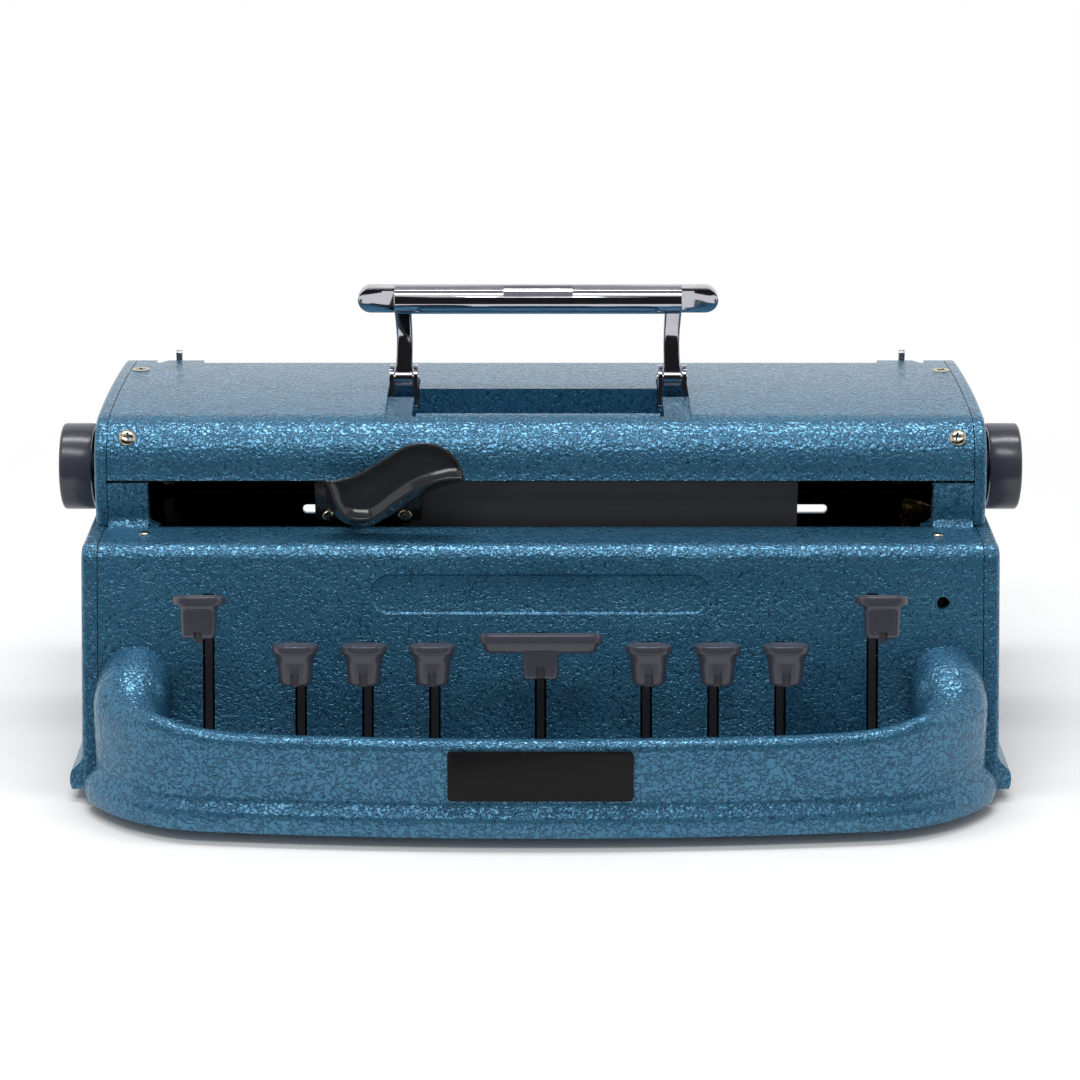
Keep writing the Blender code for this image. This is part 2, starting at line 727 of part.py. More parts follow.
def guard_section(thick, top, flare):
    """The guard's section: distance in from the outer wall, and height. It runs round from the skirt."""
    crest = min(thick / 2, HORN_THICK / 2)
    crest_high = crest if thick > GUARD_THICK * 1.5 else crest * 0.9
    skirt = [
        (flare * (0.4 * GAP / SKIRT_FLARE - 1) + flare / 8, BASE_LOW),
        (-flare, BASE_LOW + SKIRT_BEAD * 0.35),
        (-flare * 0.93, BASE_LOW + SKIRT_BEAD * 0.75),
        (-flare * 0.45, SKIRT_TOP - SKIRT_FLARE * 0.8),
        (-flare * 0.12, SKIRT_TOP - SKIRT_FLARE * 0.3),
        (0.0, SKIRT_TOP),
    ]
    low = top - crest_high
    rise = [(0.0, SKIRT_TOP + (low - SKIRT_TOP) * 0.5)]
    over = []
    for i in range(9):
        angle = math.pi * (1 - i / 8)
        over.append((thick / 2 + thick / 2 * math.cos(angle), low + crest_high * math.sin(angle)))
    inner = [(thick, SKIRT_TOP), (thick, BASE_LOW)]
    return skirt + rise + over + inner


def guard_half():
    bm = bmesh.new()
    stations = guard_stations()
    first = stations[0]
    sections = []
    # The first two sections lean with the panel: one sunk into it and one at its face
    for reach in (SUNK, -GAP / 2):
        shape = guard_section(HORN_THICK, HORN_TOP, 0.0)
        sections.append([(first[0] + n, panel_y(z) + reach, z) for n, z in shape])
    for x, y, heading, share in stations:
        fall = ease((share - HORN_STRAIGHT_SHARE) / (HORN_FALL_SHARE - HORN_STRAIGHT_SHARE))
        thick = HORN_THICK + (GUARD_THICK - HORN_THICK) * ease(share / HORN_FALL_SHARE)
        top = HORN_TOP + (GUARD_TOP - HORN_TOP) * fall
        shape = guard_section(thick, top, SKIRT_FLARE)
        inward = (math.cos(heading), math.sin(heading))
        sections.append([(x + n * inward[0], y + n * inward[1], z) for n, z in shape])
    rings = [[bm.verts.new(point) for point in section] for section in sections]
    for ring, after in zip(rings, rings[1:]):
        for i in range(len(ring)):
            j = (i + 1) % len(ring)
            bm.faces.new((ring[i], ring[j], after[j], after[i]))
    bm.faces.new(list(reversed(rings[0])))
    bmesh.ops.recalc_face_normals(bm, faces=bm.faces)
    obj = from_bmesh("Guard wall half", bm)
    flip = obj.modifiers.new("Mirror", "MIRROR")
    flip.use_axis = (True, False, False)
    flip.merge_threshold = 1e-5
    return bake(obj)


def well_floor():
    """The floor of the key well, reaching into the guard wall all round."""
    outline = []
    for x, y, heading, share in guard_stations():
        inset = HORN_THICK / 2 + (GUARD_THICK - HORN_THICK) / 2 * ease(share / HORN_FALL_SHARE)
        outline.append((x + inset * math.cos(heading), y + inset * math.sin(heading)))
    back = cove_path()[-2][0] + SUNK
    left = [(outline[0][0], back)] + outline[:-1]
    right = [(-x, y) for x, y in reversed(left)]
    return plate(
        "Well floor", "XY", [left + [outline[-1]] + right], WELL_FLOOR_Z - WALL + GAP, WELL_FLOOR_Z - GAP
    )


def lean_with_panel(obj, z):
    """Turns a flat shape to lie along the panel, about the panel's face at height z."""
    at = Matrix.Translation((0, panel_y(z), z))
    tilt = Matrix.Rotation(-PANEL_LEAN, 4, "X")
    obj.matrix_world = at @ tilt @ at.inverted()
    return obj


def cartouche_outline():
    """The bare sunk field on the panel, a long shape with half-round ends."""
    half, radius = CARTOUCHE_HALF, CARTOUCHE_HIGH / 2
    ends = arc((half - radius, CARTOUCHE_Z), radius, -90, 90, 8)
    return ends + arc((radius - half, CARTOUCHE_Z), radius, 90, 270, 8)


def key_slots():
    """x, top of the arm's slot and the cap's sizes of every key, from left to right."""
    dots = [(x, DOT_CAP) for x in DOT_KEY_X]
    right = dots + [(END_KEY_X, END_CAP)]
    left = [(-x, cap) for x, cap in reversed(right)]
    return left + [(0.0, SPACE_CAP)] + right


KEY_NAMES = (
    "line_space", "dot_3", "dot_2", "dot_1", "space", "dot_4", "dot_5", "dot_6", "back_space",
)


def front_casting():
    casting = sheet(
        "front_casting", panel_path(), -CASTING_HALF, CASTING_HALF, WALL, "left", BLUE
    )
    half = CASTING_HALF - HORN_THICK / 2
    cove = sheet("Cove", cove_path(), -half, half, WALL, "left")
    join(casting, guard_half(), cove, well_floor())
    base = SHELF_Z - WALL / 2
    for side in (-1, 1):
        fillet = arc((SILL_Y - CHEEK_FILLET, SHELF_Z + CHEEK_FILLET), CHEEK_FILLET, -90, 0, 5)
        outline = [(SILL_Y + CHEEK_DEEP, base), (SILL_Y - CHEEK_FILLET, base)] + fillet
        outline += [(SILL_Y, CHEEK_TOP), (SILL_Y + CHEEK_DEEP, CHEEK_TOP)]
        low, high = sorted((side * CHEEK_IN, side * HOOD_HALF))
        join(casting, plate("Window cheek", "YZ", [outline], low, high))
    deep = (panel_y(SLOT_LOW) - COVE_R, SILL_Y - CHEEK_DEEP)
    for x, cap in key_slots():
        top = cap["arm"] + ARM_HIGH + SLOT_SPARE
        half = SLOT_WIDE / 2
        cut(casting, box("Key slot", (x - half, deep[0], SLOT_LOW), (x + half, deep[1], top)))
    face = panel_y(CARTOUCHE_Z)
    sunk = plate("Cartouche", "XZ", [cartouche_outline()], face - OVERRUN, face + CARTOUCHE_DEEP)
    cut(casting, lean_with_panel(sunk, CARTOUCHE_Z))
    place = (CASTING_HALF - SIDE_HOLE_INSET, SIDE_HOLE_Z)
    cut(casting, rod("Side hole", "Y", place, SIDE_HOLE_R, deep[0], deep[1], sides=12))
    return casting


def label_plate():
    half, high = LABEL_WIDE / 2, LABEL_HIGH / 2
    outline = rounded_box((-half, LABEL_Z - high), (half, LABEL_Z + high), LABEL_CORNER, 3)
    front = FRONT_Y - GAP
    return plate("label_plate", "XZ", [outline], front - LABEL_THICK, front, LABEL_BLACK)


# Side plates


def side_plate(side):
    name = "side_plate_left" if side < 0 else "side_plate_right"
    lower = [(panel_y(BASE_LOW), BASE_LOW)] + shoulder_arc(180 - math.degrees(PANEL_LEAN), 90)
    lower += [(REAR_Y, SHELF_Z), (REAR_Y, BASE_LOW)]
    bottom = SHELF_Z - SILL_DROP
    back = SILL_Y + CHEEK_DEEP + SUNK
    upper = [(back, bottom), (back, SHELF_Z + GAP), (SILL_Y, SHELF_Z + GAP)]
    upper += hood_path() + rest_path() + [(REAR_Y, bottom)]
    low_out = side * PLATE_OUT_LOWER
    high_out = side * PLATE_OUT_UPPER
    low_in = side * (CASTING_HALF + GAP)
    high_in = side * (HOOD_HALF + GAP)
    obj = plate(name, "YZ", [lower], *sorted((low_in, low_out)), BLUE)
    bevel_face(obj, 0, low_out, SKIRT_FLARE / 2)
    top = plate("Upper plate", "YZ", [upper], *sorted((high_in, high_out)))
    bevel_face(top, 0, high_out, SKIRT_FLARE * 0.7)
    skirt = plate(
        "Side skirt",
        "XZ",
        [flared(0, PLATE_OUT_LOWER, CASTING_HALF + GAP, side)],
        panel_y(SKIRT_TOP) + GAP,
        REAR_Y - GAP,
    )
    join(obj, top, skirt)
    for y, z, radius in shaft_seats():
        ends = sorted((side * (CASTING_HALF - OVERRUN), side * (seat_end(z) + GAP)))
        cut(obj, rod("Socket", "X", (y, z), radius + RUNNING, *ends, sides=12))
    ends = sorted((side * (HOOD_HALF - OVERRUN), side * (PLATE_OUT_LOWER + OVERRUN)))
    cut(obj, rod("Knob shaft bore", "X", (ROLLER_Y, ROLLER_Z), SHAFT_R + RUNNING, *ends, sides=16))
    for y, z in LEFT_STUDS if side < 0 else RIGHT_STUDS:
        ends = sorted((side * (CASTING_HALF - OVERRUN), side * (seat_end(z) + GAP)))
        cut(obj, rod("Stud socket", "X", (y, z), STUD_R + RUNNING, *ends, sides=12))
    return obj


def shaft_seats():
    """y, z and radius of every bar that both side plates hold."""
    return (
        (PIVOT_Y, PIVOT_Z, KEY_SHAFT_R),
        (DRUM_Y, DRUM_Z, SHAFT_R),
        (RAIL_Y, RAIL_HIGH_Z, RAIL_R),
        (RAIL_Y, RAIL_LOW_Z, RAIL_R),
        (RELEASE_Y, RELEASE_Z, RELEASE_ROD_R),
        (MARGIN_Y, MARGIN_Z, MARGIN_R),
    )


def cross_bar(name, y, z, radius, finish):
    end = seat_end(z)
    return rod(name, "X", (y, z), radius, -end, end, finish, sides=16)


# Hood, rear cover, reading rest, base


def pocket_x(side, grow):
    """The pocket round one handle bracket, its two sides moved out by grow."""
    half = ARM_WIDE / 2 + GAP + EAR_THICK + POCKET_MARGIN + grow
    middle = HANDLE_X + side * ARM_X
    return middle - half, middle + half


def top_hood():
    hood = sheet("top_hood", hood_path(), -HOOD_HALF, HOOD_HALF, SHEET, "right", BLUE)
    under = HOOD_TOP_Z - SHEET / 2
    wells = [
        (pocket_x(-1, 0), POCKET_Y, POCKET_FLOOR_Z),
        (pocket_x(1, 0), POCKET_Y, POCKET_FLOOR_Z),
        ((HANDLE_X - RECESS_HALF, HANDLE_X + RECESS_HALF), RECESS_Y, RECESS_FLOOR_Z),
    ]
    wall = POCKET_WALL
    for (x0, x1), (y0, y1), floor in wells:
        join(hood, box("Well pan", (x0 - wall, y0 - wall, floor - wall), (x1 + wall, y1 + wall, under)))
    for (x0, x1), (y0, y1), floor in wells:
        cut(hood, box("Well", (x0, y0, floor), (x1, y1, HOOD_TOP_Z + OVERRUN)))
    for side in (-1, 1):
        x0, x1 = pocket_x(side, 0)
        low = (x0, SILL_Y, HOOD_TOP_Z - CHANNEL_DEEP)
        cut(hood, box("Arm channel", low, (x1, POCKET_Y[0] + SUNK, HOOD_TOP_Z + OVERRUN)))
    rear = (HOOD_REAR_Y, HOOD_REAR_Y + HOOD_WING + OVERRUN)
    span = (HOOD_REAR_Z - OVERRUN * 2, HOOD_TOP_Z + OVERRUN)
    wing = HOOD_HALF - HOOD_WING_WIDE
    cut(hood, box("Paper slot", (-wing, rear[0], span[0]), (wing, rear[1], span[1])))
    for side in (-1, 1):
        x, half = side * (HOOD_HALF - HOOD_NOTCH_INSET), HOOD_NOTCH_WIDE / 2
        front = HOOD_REAR_Y + HOOD_WING - HOOD_NOTCH_DEEP
        cut(hood, box("Lever notch", (x - half, front, span[0]), (x + half, rear[1], span[1])))
    return hood


def rear_cover():
    tip = HALF_DEPTH
    path = [
        (tip - GAP, BASE_LOW),
        (tip, BASE_LOW + SKIRT_BEAD * 0.35),
        (tip - GAP, BASE_LOW + SKIRT_BEAD * 0.75),
        (REAR_Y + SKIRT_FLARE / 3, SKIRT_TOP - SKIRT_FLARE * 0.8),
        (REAR_Y, SKIRT_TOP),
        (REAR_Y, REAR_TOP),
    ]
    cover = sheet("rear_cover", path, -HOOD_HALF, HOOD_HALF, SHEET, "left", BLUE)
    slot = rounded_box(*zip(REAR_OPEN_X, REAR_OPEN_Z), REAR_OPEN_R, 3)
    cut(cover, plate("Rear opening", "XZ", [slot], REAR_Y - SHEET - OVERRUN, REAR_Y + OVERRUN))
    return cover


def reading_rest():
    return sheet("reading_rest", rest_path(), -HOOD_HALF, HOOD_HALF, SHEET, "right", BLUE)


def base_pan():
    bottom = BASE_LOW + GAP * 3
    return box(
        "base_pan",
        (-PAN_HALF, PAN_FRONT, bottom),
        (PAN_HALF, PAN_REAR, bottom + PAN_THICK),
        DARK_STEEL,
    )


def base_top():
    return BASE_LOW + GAP * 3 + PAN_THICK


def feet():
    top = BASE_LOW + GAP * 2
    for name, x, y in (
        ("rubber_foot_front_left", -FOOT_X, FOOT_FRONT_Y),
        ("rubber_foot_front_right", FOOT_X, FOOT_FRONT_Y),
        ("rubber_foot_rear_left", -FOOT_X, FOOT_REAR_Y),
        ("rubber_foot_rear_right", FOOT_X, FOOT_REAR_Y),
    ):
        profile = [(0, top), (FOOT_TOP_R, top), (FOOT_R, GAP * 3), (FOOT_R - GAP * 2, 0), (0, 0)]
        turned(name, "Z", (x, y), profile, RUBBER, sides=20)


# Keys


def lever_outline(arm):
    """Seen from the side: the long bar, the riser behind the panel and the arm out to the cap."""

    def front(z):
        return panel_y(z) + RISER_INSET

    top = arm + ARM_HIGH
    return [
        (front(BAR_LOW), BAR_LOW),
        (TAIL_Y, BAR_LOW),
        (TAIL_Y, BAR_HIGH),
        (front(BAR_HIGH) + RISER_DEPTH, BAR_HIGH),
        (front(top) + RISER_DEPTH, top),
        (ARM_END_Y, top),
        (ARM_END_Y, arm),
        (front(arm), arm),
    ]


def key_cap(name, x, size):
    """A moulded cap: dished oval top with a rim, tapered oval body, and the slit that the arm sits in."""
    a, b = size["wide"] / 2, size["body"] / 2
    top, low = size["top"], size["low"]
    edge = CAP_RIM / 4
    profile = [
        (0, top - edge * 1.3),
        (a * 0.62, top - edge * 0.7),
        (a * 0.88, top),
        (a * 0.97, top - edge * 0.5),
        (a, top - edge * 1.6),
        (a * 0.985, top - CAP_RIM),
        (b, top - CAP_RIM - edge),
        (b * CAP_TAPER_SHARE, low + edge * 1.5),
        (b * CAP_TAPER_SHARE - edge, low),
        (0, low),
    ]
    cap = turned(name, "Z", (0, 0), profile, GREY_PLASTIC, sides=22)
    bake(cap)
    squeeze = Matrix.Diagonal((1, size["deep"] / size["wide"], 1, 1))
    cap.data.transform(Matrix.Translation((x, CAP_Y, 0)) @ squeeze)
    lean_back(cap, size)
    cut_arm_slit(cap, x, size)
    return cap


def lean_back(cap, size):
    """Turns a cap's top to the rear, as the caps stand on their arms."""
    middle = Vector((0, CAP_Y, (size["top"] + size["low"]) / 2))
    turn = Matrix.Rotation(-size["lean"], 4, "X")
    cap.data.transform(Matrix.Translation(middle) @ turn @ Matrix.Translation(-middle))


def cut_arm_slit(cap, x, size):
    half = LEVER_THICK / 2 + GAP
    reach = size["deep"] / 2 + OVERRUN
    top = size["arm"] + ARM_HIGH + GAP
    low = size["low"] - OVERRUN
    cut(cap, box("Arm slit", (x - half, CAP_Y - reach, low), (x + half, CAP_Y + reach, top)))


def space_cap(name, size):
    """The space bar: a long rounded rim, a shallow lobe under it, and a block for the arm."""
    half, deep, top = size["wide"] / 2, size["deep"] / 2, size["top"]
    corner = deep * 0.75
    rim_low = top - CAP_RIM
    outline = rounded_box((-half, CAP_Y - deep), (half, CAP_Y + deep), corner, 5)
    cap = plate(name, "XY", [outline], rim_low, top, GREY_PLASTIC)
    bevel_face(cap, 2, top, CAP_RIM / 4, 2)
    inset = SPACE_LOBE_INSET
    lobe_half = half - inset
    lobe_low = rim_low - SPACE_LOBE_LOW
    ends = ((-lobe_half, CAP_Y - deep + inset), (lobe_half, CAP_Y + deep - inset))
    shape = rounded_box(*ends, corner - inset, 5)
    lobe = plate("Space bar lobe", "XY", [shape], lobe_low, rim_low + SUNK)
    bevel_face(lobe, 2, lobe_low, SPACE_LOBE_LOW * 0.6, 3)
    block_half = size["body"] / 2
    block = box(
        "Space bar block",
        (-block_half, CAP_Y - deep * 0.7, size["low"]),
        (block_half, CAP_Y + deep * 0.7, lobe_low + SUNK),
    )
    round_edges(block, CAP_RIM / 4)
    join(cap, lobe, block)
    bake(cap)
    lean_back(cap, size)
    cut_arm_slit(cap, 0.0, size)
    return cap


def keys():
    hole = circle((PIVOT_Y, PIVOT_Z), KEY_SHAFT_R + RUNNING, 16)
    for key, (x, size) in zip(KEY_NAMES, key_slots()):
        hinge = pivot("pivot_" + key, (x, PIVOT_Y, PIVOT_Z))
        half = LEVER_THICK / 2
        lever = plate(
            "lever_" + key, "YZ", [lever_outline(size["arm"]), hole], x - half, x + half, DARK_STEEL
        )
        hang(lever, hinge)
        cap = space_cap("cap_" + key, size) if key == "space" else key_cap("cap_" + key, x, size)
        hang(cap, hinge)


def lever_comb():
    """The guide that keeps the levers apart: a plate with a slot for each lever, open at the top."""
    half = LEVER_THICK / 2 + RUNNING
    low = base_top() + GAP
    end = END_KEY_X + SPRING_BAR_DEEP * 2
    outline = [(-end, low), (end, low), (end, COMB_HIGH)]
    for x, _ in reversed(key_slots()):
        outline += [(x + half, COMB_HIGH), (x + half, COMB_SLOT_LOW)]
        outline += [(x - half, COMB_SLOT_LOW), (x - half, COMB_HIGH)]
    outline.append((-end, COMB_HIGH))
    return plate("lever_comb", "XZ", [outline], COMB_Y, COMB_Y + PAN_THICK, ZINC)


def return_springs():
    """The anchor bar of the nine return springs, with each spring standing under its lever's tail."""
    low = base_top() + GAP
    top = low + SPRING_BAR_HIGH
    half = SPRING_BAR_DEEP / 2
    end = END_KEY_X + BAR_END_SPARE
    bar = box(
        "key_return_springs", (-end, SPRING_BAR_Y - half, low), (end, SPRING_BAR_Y + half, top), ZINC
    )
    for x, _ in key_slots():
        join(bar, rod("Spring", "Z", (x, SPRING_BAR_Y), SPRING_R, low + SUNK, BAR_LOW - GAP, sides=8))
    return bar


# Paper feed


def gear_outline(centre, teeth, module, phase):
    """Straight-sided teeth, narrower than their gaps so that a pair runs free."""
    pitch_r = module * teeth / 2
    tip = pitch_r + TOOTH_ADDENDUM_SHARE * module
    root = pitch_r - TOOTH_DEDENDUM_SHARE * module
    step = 2 * math.pi / teeth
    found = []
    for i in range(teeth):
        middle = phase + i * step
        flank = ((root, -TOOTH_ROOT_SHARE), (tip, -TOOTH_TIP_SHARE))
        for radius, share in flank + ((tip, TOOTH_TIP_SHARE), (root, TOOTH_ROOT_SHARE)):
            angle = middle + share * step / 2
            found.append((centre[0] + radius * math.cos(angle), centre[1] + radius * math.sin(angle)))
    return found


def knob_profile():
    """The right knob from its hub socket out to its face, as radius and place along X."""
    edge = KNOB_WALL / 2
    depth = KNOB_OUT - KNOB_WALL
    hub_in = KNOB_IN - KNOB_WALL / 2
    return [
        (0, KNOB_OUT),
        (KNOB_R - edge * 2, KNOB_OUT),
        (KNOB_R - edge * 0.6, KNOB_OUT - edge * 0.5),
        (KNOB_R, KNOB_OUT - edge * 1.6),
        (KNOB_R, KNOB_IN),
        (KNOB_R - KNOB_WALL, KNOB_IN),
        (KNOB_R - KNOB_WALL, depth),
        (KNOB_HUB_R, depth),
        (KNOB_HUB_R, hub_in),
        (SHAFT_R + GAP, hub_in),
        (SHAFT_R + GAP, depth),
        (0, depth),
    ]


def paper_feed():
    axis = (ROLLER_Y, ROLLER_Z)
    feed = pivot("pivot_feed", (0, *axis))
    end = KNOB_OUT - KNOB_WALL - GAP
    profile = [(0, end), (SHAFT_R, end), (SHAFT_R, ROLLER_HALF), (ROLLER_R, ROLLER_HALF)]
    profile += [(radius, -along) for radius, along in reversed(profile)]
    hang(turned("feed_roller", "X", axis, profile, RUBBER, sides=24), feed)
    right = knob_profile()
    left = [(radius, -along) for radius, along in reversed(right)]
    hang(turned("knob_right", "X", axis, right, GREY_PLASTIC, sides=30), feed)
    hang(turned("knob_left", "X", axis, left, GREY_PLASTIC, sides=30), feed)

    drum_axis = (DRUM_Y, DRUM_Z)
    drum = pivot("pivot_drum", (0, *drum_axis))
    end = seat_end(DRUM_Z)
    profile = [(0, end), (SHAFT_R, end), (SHAFT_R, ROLLER_HALF), (DRUM_R, ROLLER_HALF)]
    profile += [(radius, -along) for radius, along in reversed(profile)]
    hang(turned("paper_drum", "X", drum_axis, profile, STEEL, sides=32), drum)

    apart = math.dist(axis, drum_axis)
    module = 2 * apart / (ROLLER_TEETH + DRUM_TEETH)
    toward = math.atan2(DRUM_Z - ROLLER_Z, DRUM_Y - ROLLER_Y)
    bore = SHAFT_R + GAP
    ends = (GEAR_X - GEAR_THICK / 2, GEAR_X + GEAR_THICK / 2)
    outline = gear_outline(axis, ROLLER_TEETH, module, toward)
    hang(plate("roller_gear", "YZ", [outline, circle(axis, bore)], *ends, BRASS), feed)
    outline = gear_outline(drum_axis, DRUM_TEETH, module, toward + math.pi + math.pi / DRUM_TEETH)
    hang(plate("drum_gear", "YZ", [outline, circle(drum_axis, bore)], *ends, BRASS), drum)


def release():
    """The paper release: a rod whose shoes press the paper on the roller, and a lever at each end."""
    axis = (RELEASE_Y, RELEASE_Z)
    hinge = pivot("pivot_release", (0, *axis))
    end = seat_end(RELEASE_Z)
    bar = rod("release_rod", "X", axis, RELEASE_ROD_R, -end, end, STEEL, sides=20)
    reach = ROLLER_R + GAP * 2 + SHOE_R
    shoe = (ROLLER_Y + reach * math.cos(SHOE_ANGLE), ROLLER_Z + reach * math.sin(SHOE_ANGLE))
    half = SHOE_R * 0.6
    for x in SHOE_X:
        arm = [(shoe[0], shoe[1] - half), (axis[0], axis[1] - half)]
        arm += [(axis[0], axis[1] + half), (shoe[0], shoe[1] + half)]
        low, high = x - SHOE_WIDE / 2, x + SHOE_WIDE / 2
        join(bar, plate("Shoe arm", "YZ", [arm], low + SUNK, high - SUNK))
        join(bar, rod("Shoe", "X", shoe, SHOE_R, low, high, sides=20))
    hang(bar, hinge)
    stem_front = RELEASE_STEM_Y - RELEASE_STEM_WIDE / 2
    stem_back = RELEASE_STEM_Y + RELEASE_STEM_WIDE / 2
    wide = RELEASE_BOSS_R
    outline = arc(axis, RELEASE_BOSS_R, 90, 270, 8)
    outline += [(stem_back, RELEASE_ELBOW_Z - wide), (stem_back, RELEASE_TOP_Z - GAP * 3)]
    outline += [(RELEASE_STEM_Y, RELEASE_TOP_Z), (stem_front, RELEASE_TOP_Z - GAP * 3)]
    outline += [(stem_front, RELEASE_ELBOW_Z)]
    hole = circle(axis, RELEASE_ROD_R + GAP, 16)
    for name, x in (("release_lever_left", -RELEASE_X), ("release_lever_right", RELEASE_X)):
        low, high = x - RELEASE_THICK / 2, x + RELEASE_THICK / 2
        hang(plate(name, "YZ", [outline, hole], low, high, ZINC), hinge)


# Carriage


def rack_bar():
    """The spacing rack in front of the carriage, one notch for each cell."""
    low, high = RACK_Z
    end = plate_inner(high) - GAP
    count = int(2 * (end - RACK_PITCH) / RACK_PITCH)
    start = -count * RACK_PITCH / 2
    outline = [(-end, low), (end, low), (end, high - RACK_TOOTH)]
    for i in reversed(range(count)):
        left = start + i * RACK_PITCH
        tip = RACK_PITCH * RACK_TOOTH_TIP_SHARE
        root = high - RACK_TOOTH
        outline += [(left + tip, root), (left + tip, high), (left, high), (left, root)]
    outline.append((-end, high - RACK_TOOTH))
    return plate("rack_bar", "XZ", [outline], RACK_FRONT_Y, RACK_FRONT_Y + RACK_DEEP, STEEL)


def carriage():
    slide = pivot("pivot_carriage", (HEAD_X, RAIL_Y, RAIL_HIGH_Z))
    low = (HEAD_X - HEAD_WIDE / 2, HEAD_Y[0], HEAD_Z[0])
    high = (HEAD_X + HEAD_WIDE / 2, HEAD_Y[1], HEAD_Z[1])
    head = box("embossing_head", low, high, ZINC)
    round_edges(head, SUNK)
    for z in (RAIL_HIGH_Z, RAIL_LOW_Z):
        ends = (low[0] - OVERRUN, high[0] + OVERRUN)
        cut(head, rod("Rail bore", "X", (RAIL_Y, z), RAIL_R + RUNNING, *ends, sides=20))
    hang(head, slide)
    x0, x1 = BRACKET_X
    flange_low = HEAD_Z[1] + GAP
    top = flange_low + BRACKET_THICK
    outline = [(x0, BRACKET_LOW), (x1, BRACKET_LOW), (x1, top)]
    outline += [(x0 + BRACKET_CHAMFER, top), (x0, top - BRACKET_CHAMFER)]
    bracket = plate(
        "carriage_bracket", "XZ", [outline], BRACKET_Y, BRACKET_Y + BRACKET_THICK, STEEL
    )
    flange = box("Flange", (low[0], BRACKET_Y + SUNK, flange_low), (x1 - SUNK, HEAD_Y[1] - SUNK, top - GAP))
    stud_ends = (LEVER_FRONT_Y + LEVER_DEEP - LEVER_STUD_IN, BRACKET_Y + SUNK)
    stud_at = (LEVER_PIVOT_X, LEVER_PIVOT_Z)
    join(bracket, flange, rod("Lever stud", "Y", stud_at, LEVER_STUD_R, *stud_ends, sides=16))
    hang(bracket, slide)

    press = pivot("pivot_carriage_lever", (LEVER_PIVOT_X, LEVER_FRONT_Y + LEVER_DEEP, LEVER_PIVOT_Z))
    outline = [(LEVER_LEFT_X + LEVER_WIDE * a, LEVER_LOW_Z + LEVER_HIGH * b) for a, b in LEVER_SHARES]
    lever = plate(
        "carriage_lever", "XZ", [outline], LEVER_FRONT_Y, LEVER_FRONT_Y + LEVER_DEEP, DARK_PLASTIC
    )
    bevel_face(lever, 1, LEVER_FRONT_Y, LEVER_DEEP * 0.2, 2)
    socket_ends = (stud_ends[0] - GAP, LEVER_FRONT_Y + LEVER_DEEP + OVERRUN)
    cut(lever, rod("Stud bore", "Y", stud_at, LEVER_STUD_R + RUNNING, *socket_ends, sides=16))
    hang(lever, press)


def shield_plate():
    """The grey plate behind the window, with the bosses that hold it off the rack bar."""
    back = SHIELD_Y + SHIELD_THICK
    shield = box(
        "shield_plate", (SHIELD_X[0], SHIELD_Y, SHIELD_Z[0]), (SHIELD_X[1], back, SHIELD_Z[1]), SHIELD_GREY
    )
    ends = (SHIELD_Y + SHIELD_THICK / 2, RACK_FRONT_Y - GAP)
    for x in SHIELD_BOSS_X:
        join(shield, rod("Shield boss", "Y", (x, RACK_Z[0] + RACK_TOOTH), RACK_TOOTH, *ends, sides=12))
    return shield


def margin_stops():
    axis = (MARGIN_Y, MARGIN_Z)
    cross_bar("margin_bar", *axis, MARGIN_R, STEEL)
    around = arc(axis, MARGIN_STOP_R, -60, 200, 12)
    foot = MARGIN_Z - MARGIN_STOP_R * 2
    tab = [(axis[0] - MARGIN_STOP_R, foot), (axis[0] + MARGIN_R, foot)]
    hole = circle(axis, MARGIN_R + RUNNING, 16)
    for name, x in zip(("margin_stop_left", "margin_stop_right"), MARGIN_STOP_X):
        slide = pivot("pivot_" + name, (x, *axis))
        low, high = x - MARGIN_STOP_WIDE / 2, x + MARGIN_STOP_WIDE / 2
        hang(plate(name, "YZ", [around + tab, hole], low, high, BRASS), slide)


def mainspring():
    axis = (MAINSPRING_Y, MAINSPRING_Z)
    turn = pivot("pivot_mainspring", (0, *axis))
    outer, inner = -(HOOD_HALF + SUNK), MAINSPRING_WIDE - HOOD_HALF
    flange = SHEET / 2
    profile = [
        (0, inner),
        (MAINSPRING_R, inner),
        (MAINSPRING_R, inner - flange),
        (MAINSPRING_R - flange, inner - flange),
        (MAINSPRING_R - flange, outer + flange + GAP * 3),
        (MAINSPRING_R, outer + flange + GAP * 3),
        (MAINSPRING_R, outer + GAP * 3),
        (STUD_R, outer + GAP * 3),
        (STUD_R, -seat_end(MAINSPRING_Z)),
        (0, -seat_end(MAINSPRING_Z)),
    ]
    hang(turned("mainspring_drum", "X", axis, profile, STEEL, sides=28), turn)


def bell():
    crown = CASTING_HALF - BELL_GAP
    mouth = crown - BELL_HIGH
    seat = seat_end(BELL_Z)
    outer, inner = [], []
    for i in range(7):
        angle = math.radians(90 * i / 6)
        along = crown - (crown - mouth) * (1 - math.cos(angle))
        outer.append((STUD_R + (BELL_R - STUD_R) * math.sin(angle), along))
        inner.append((max(outer[-1][0] - BELL_WALL, 0), along - BELL_WALL))
    inner = [(radius, max(along, mouth)) for radius, along in inner]
    inner[0] = (0, crown - BELL_WALL)
    profile = [(0, seat), (STUD_R, seat)] + outer + list(reversed(inner[:-1]))
    return turned("bell", "X", (BELL_Y, BELL_Z), profile, BRASS, sides=28)


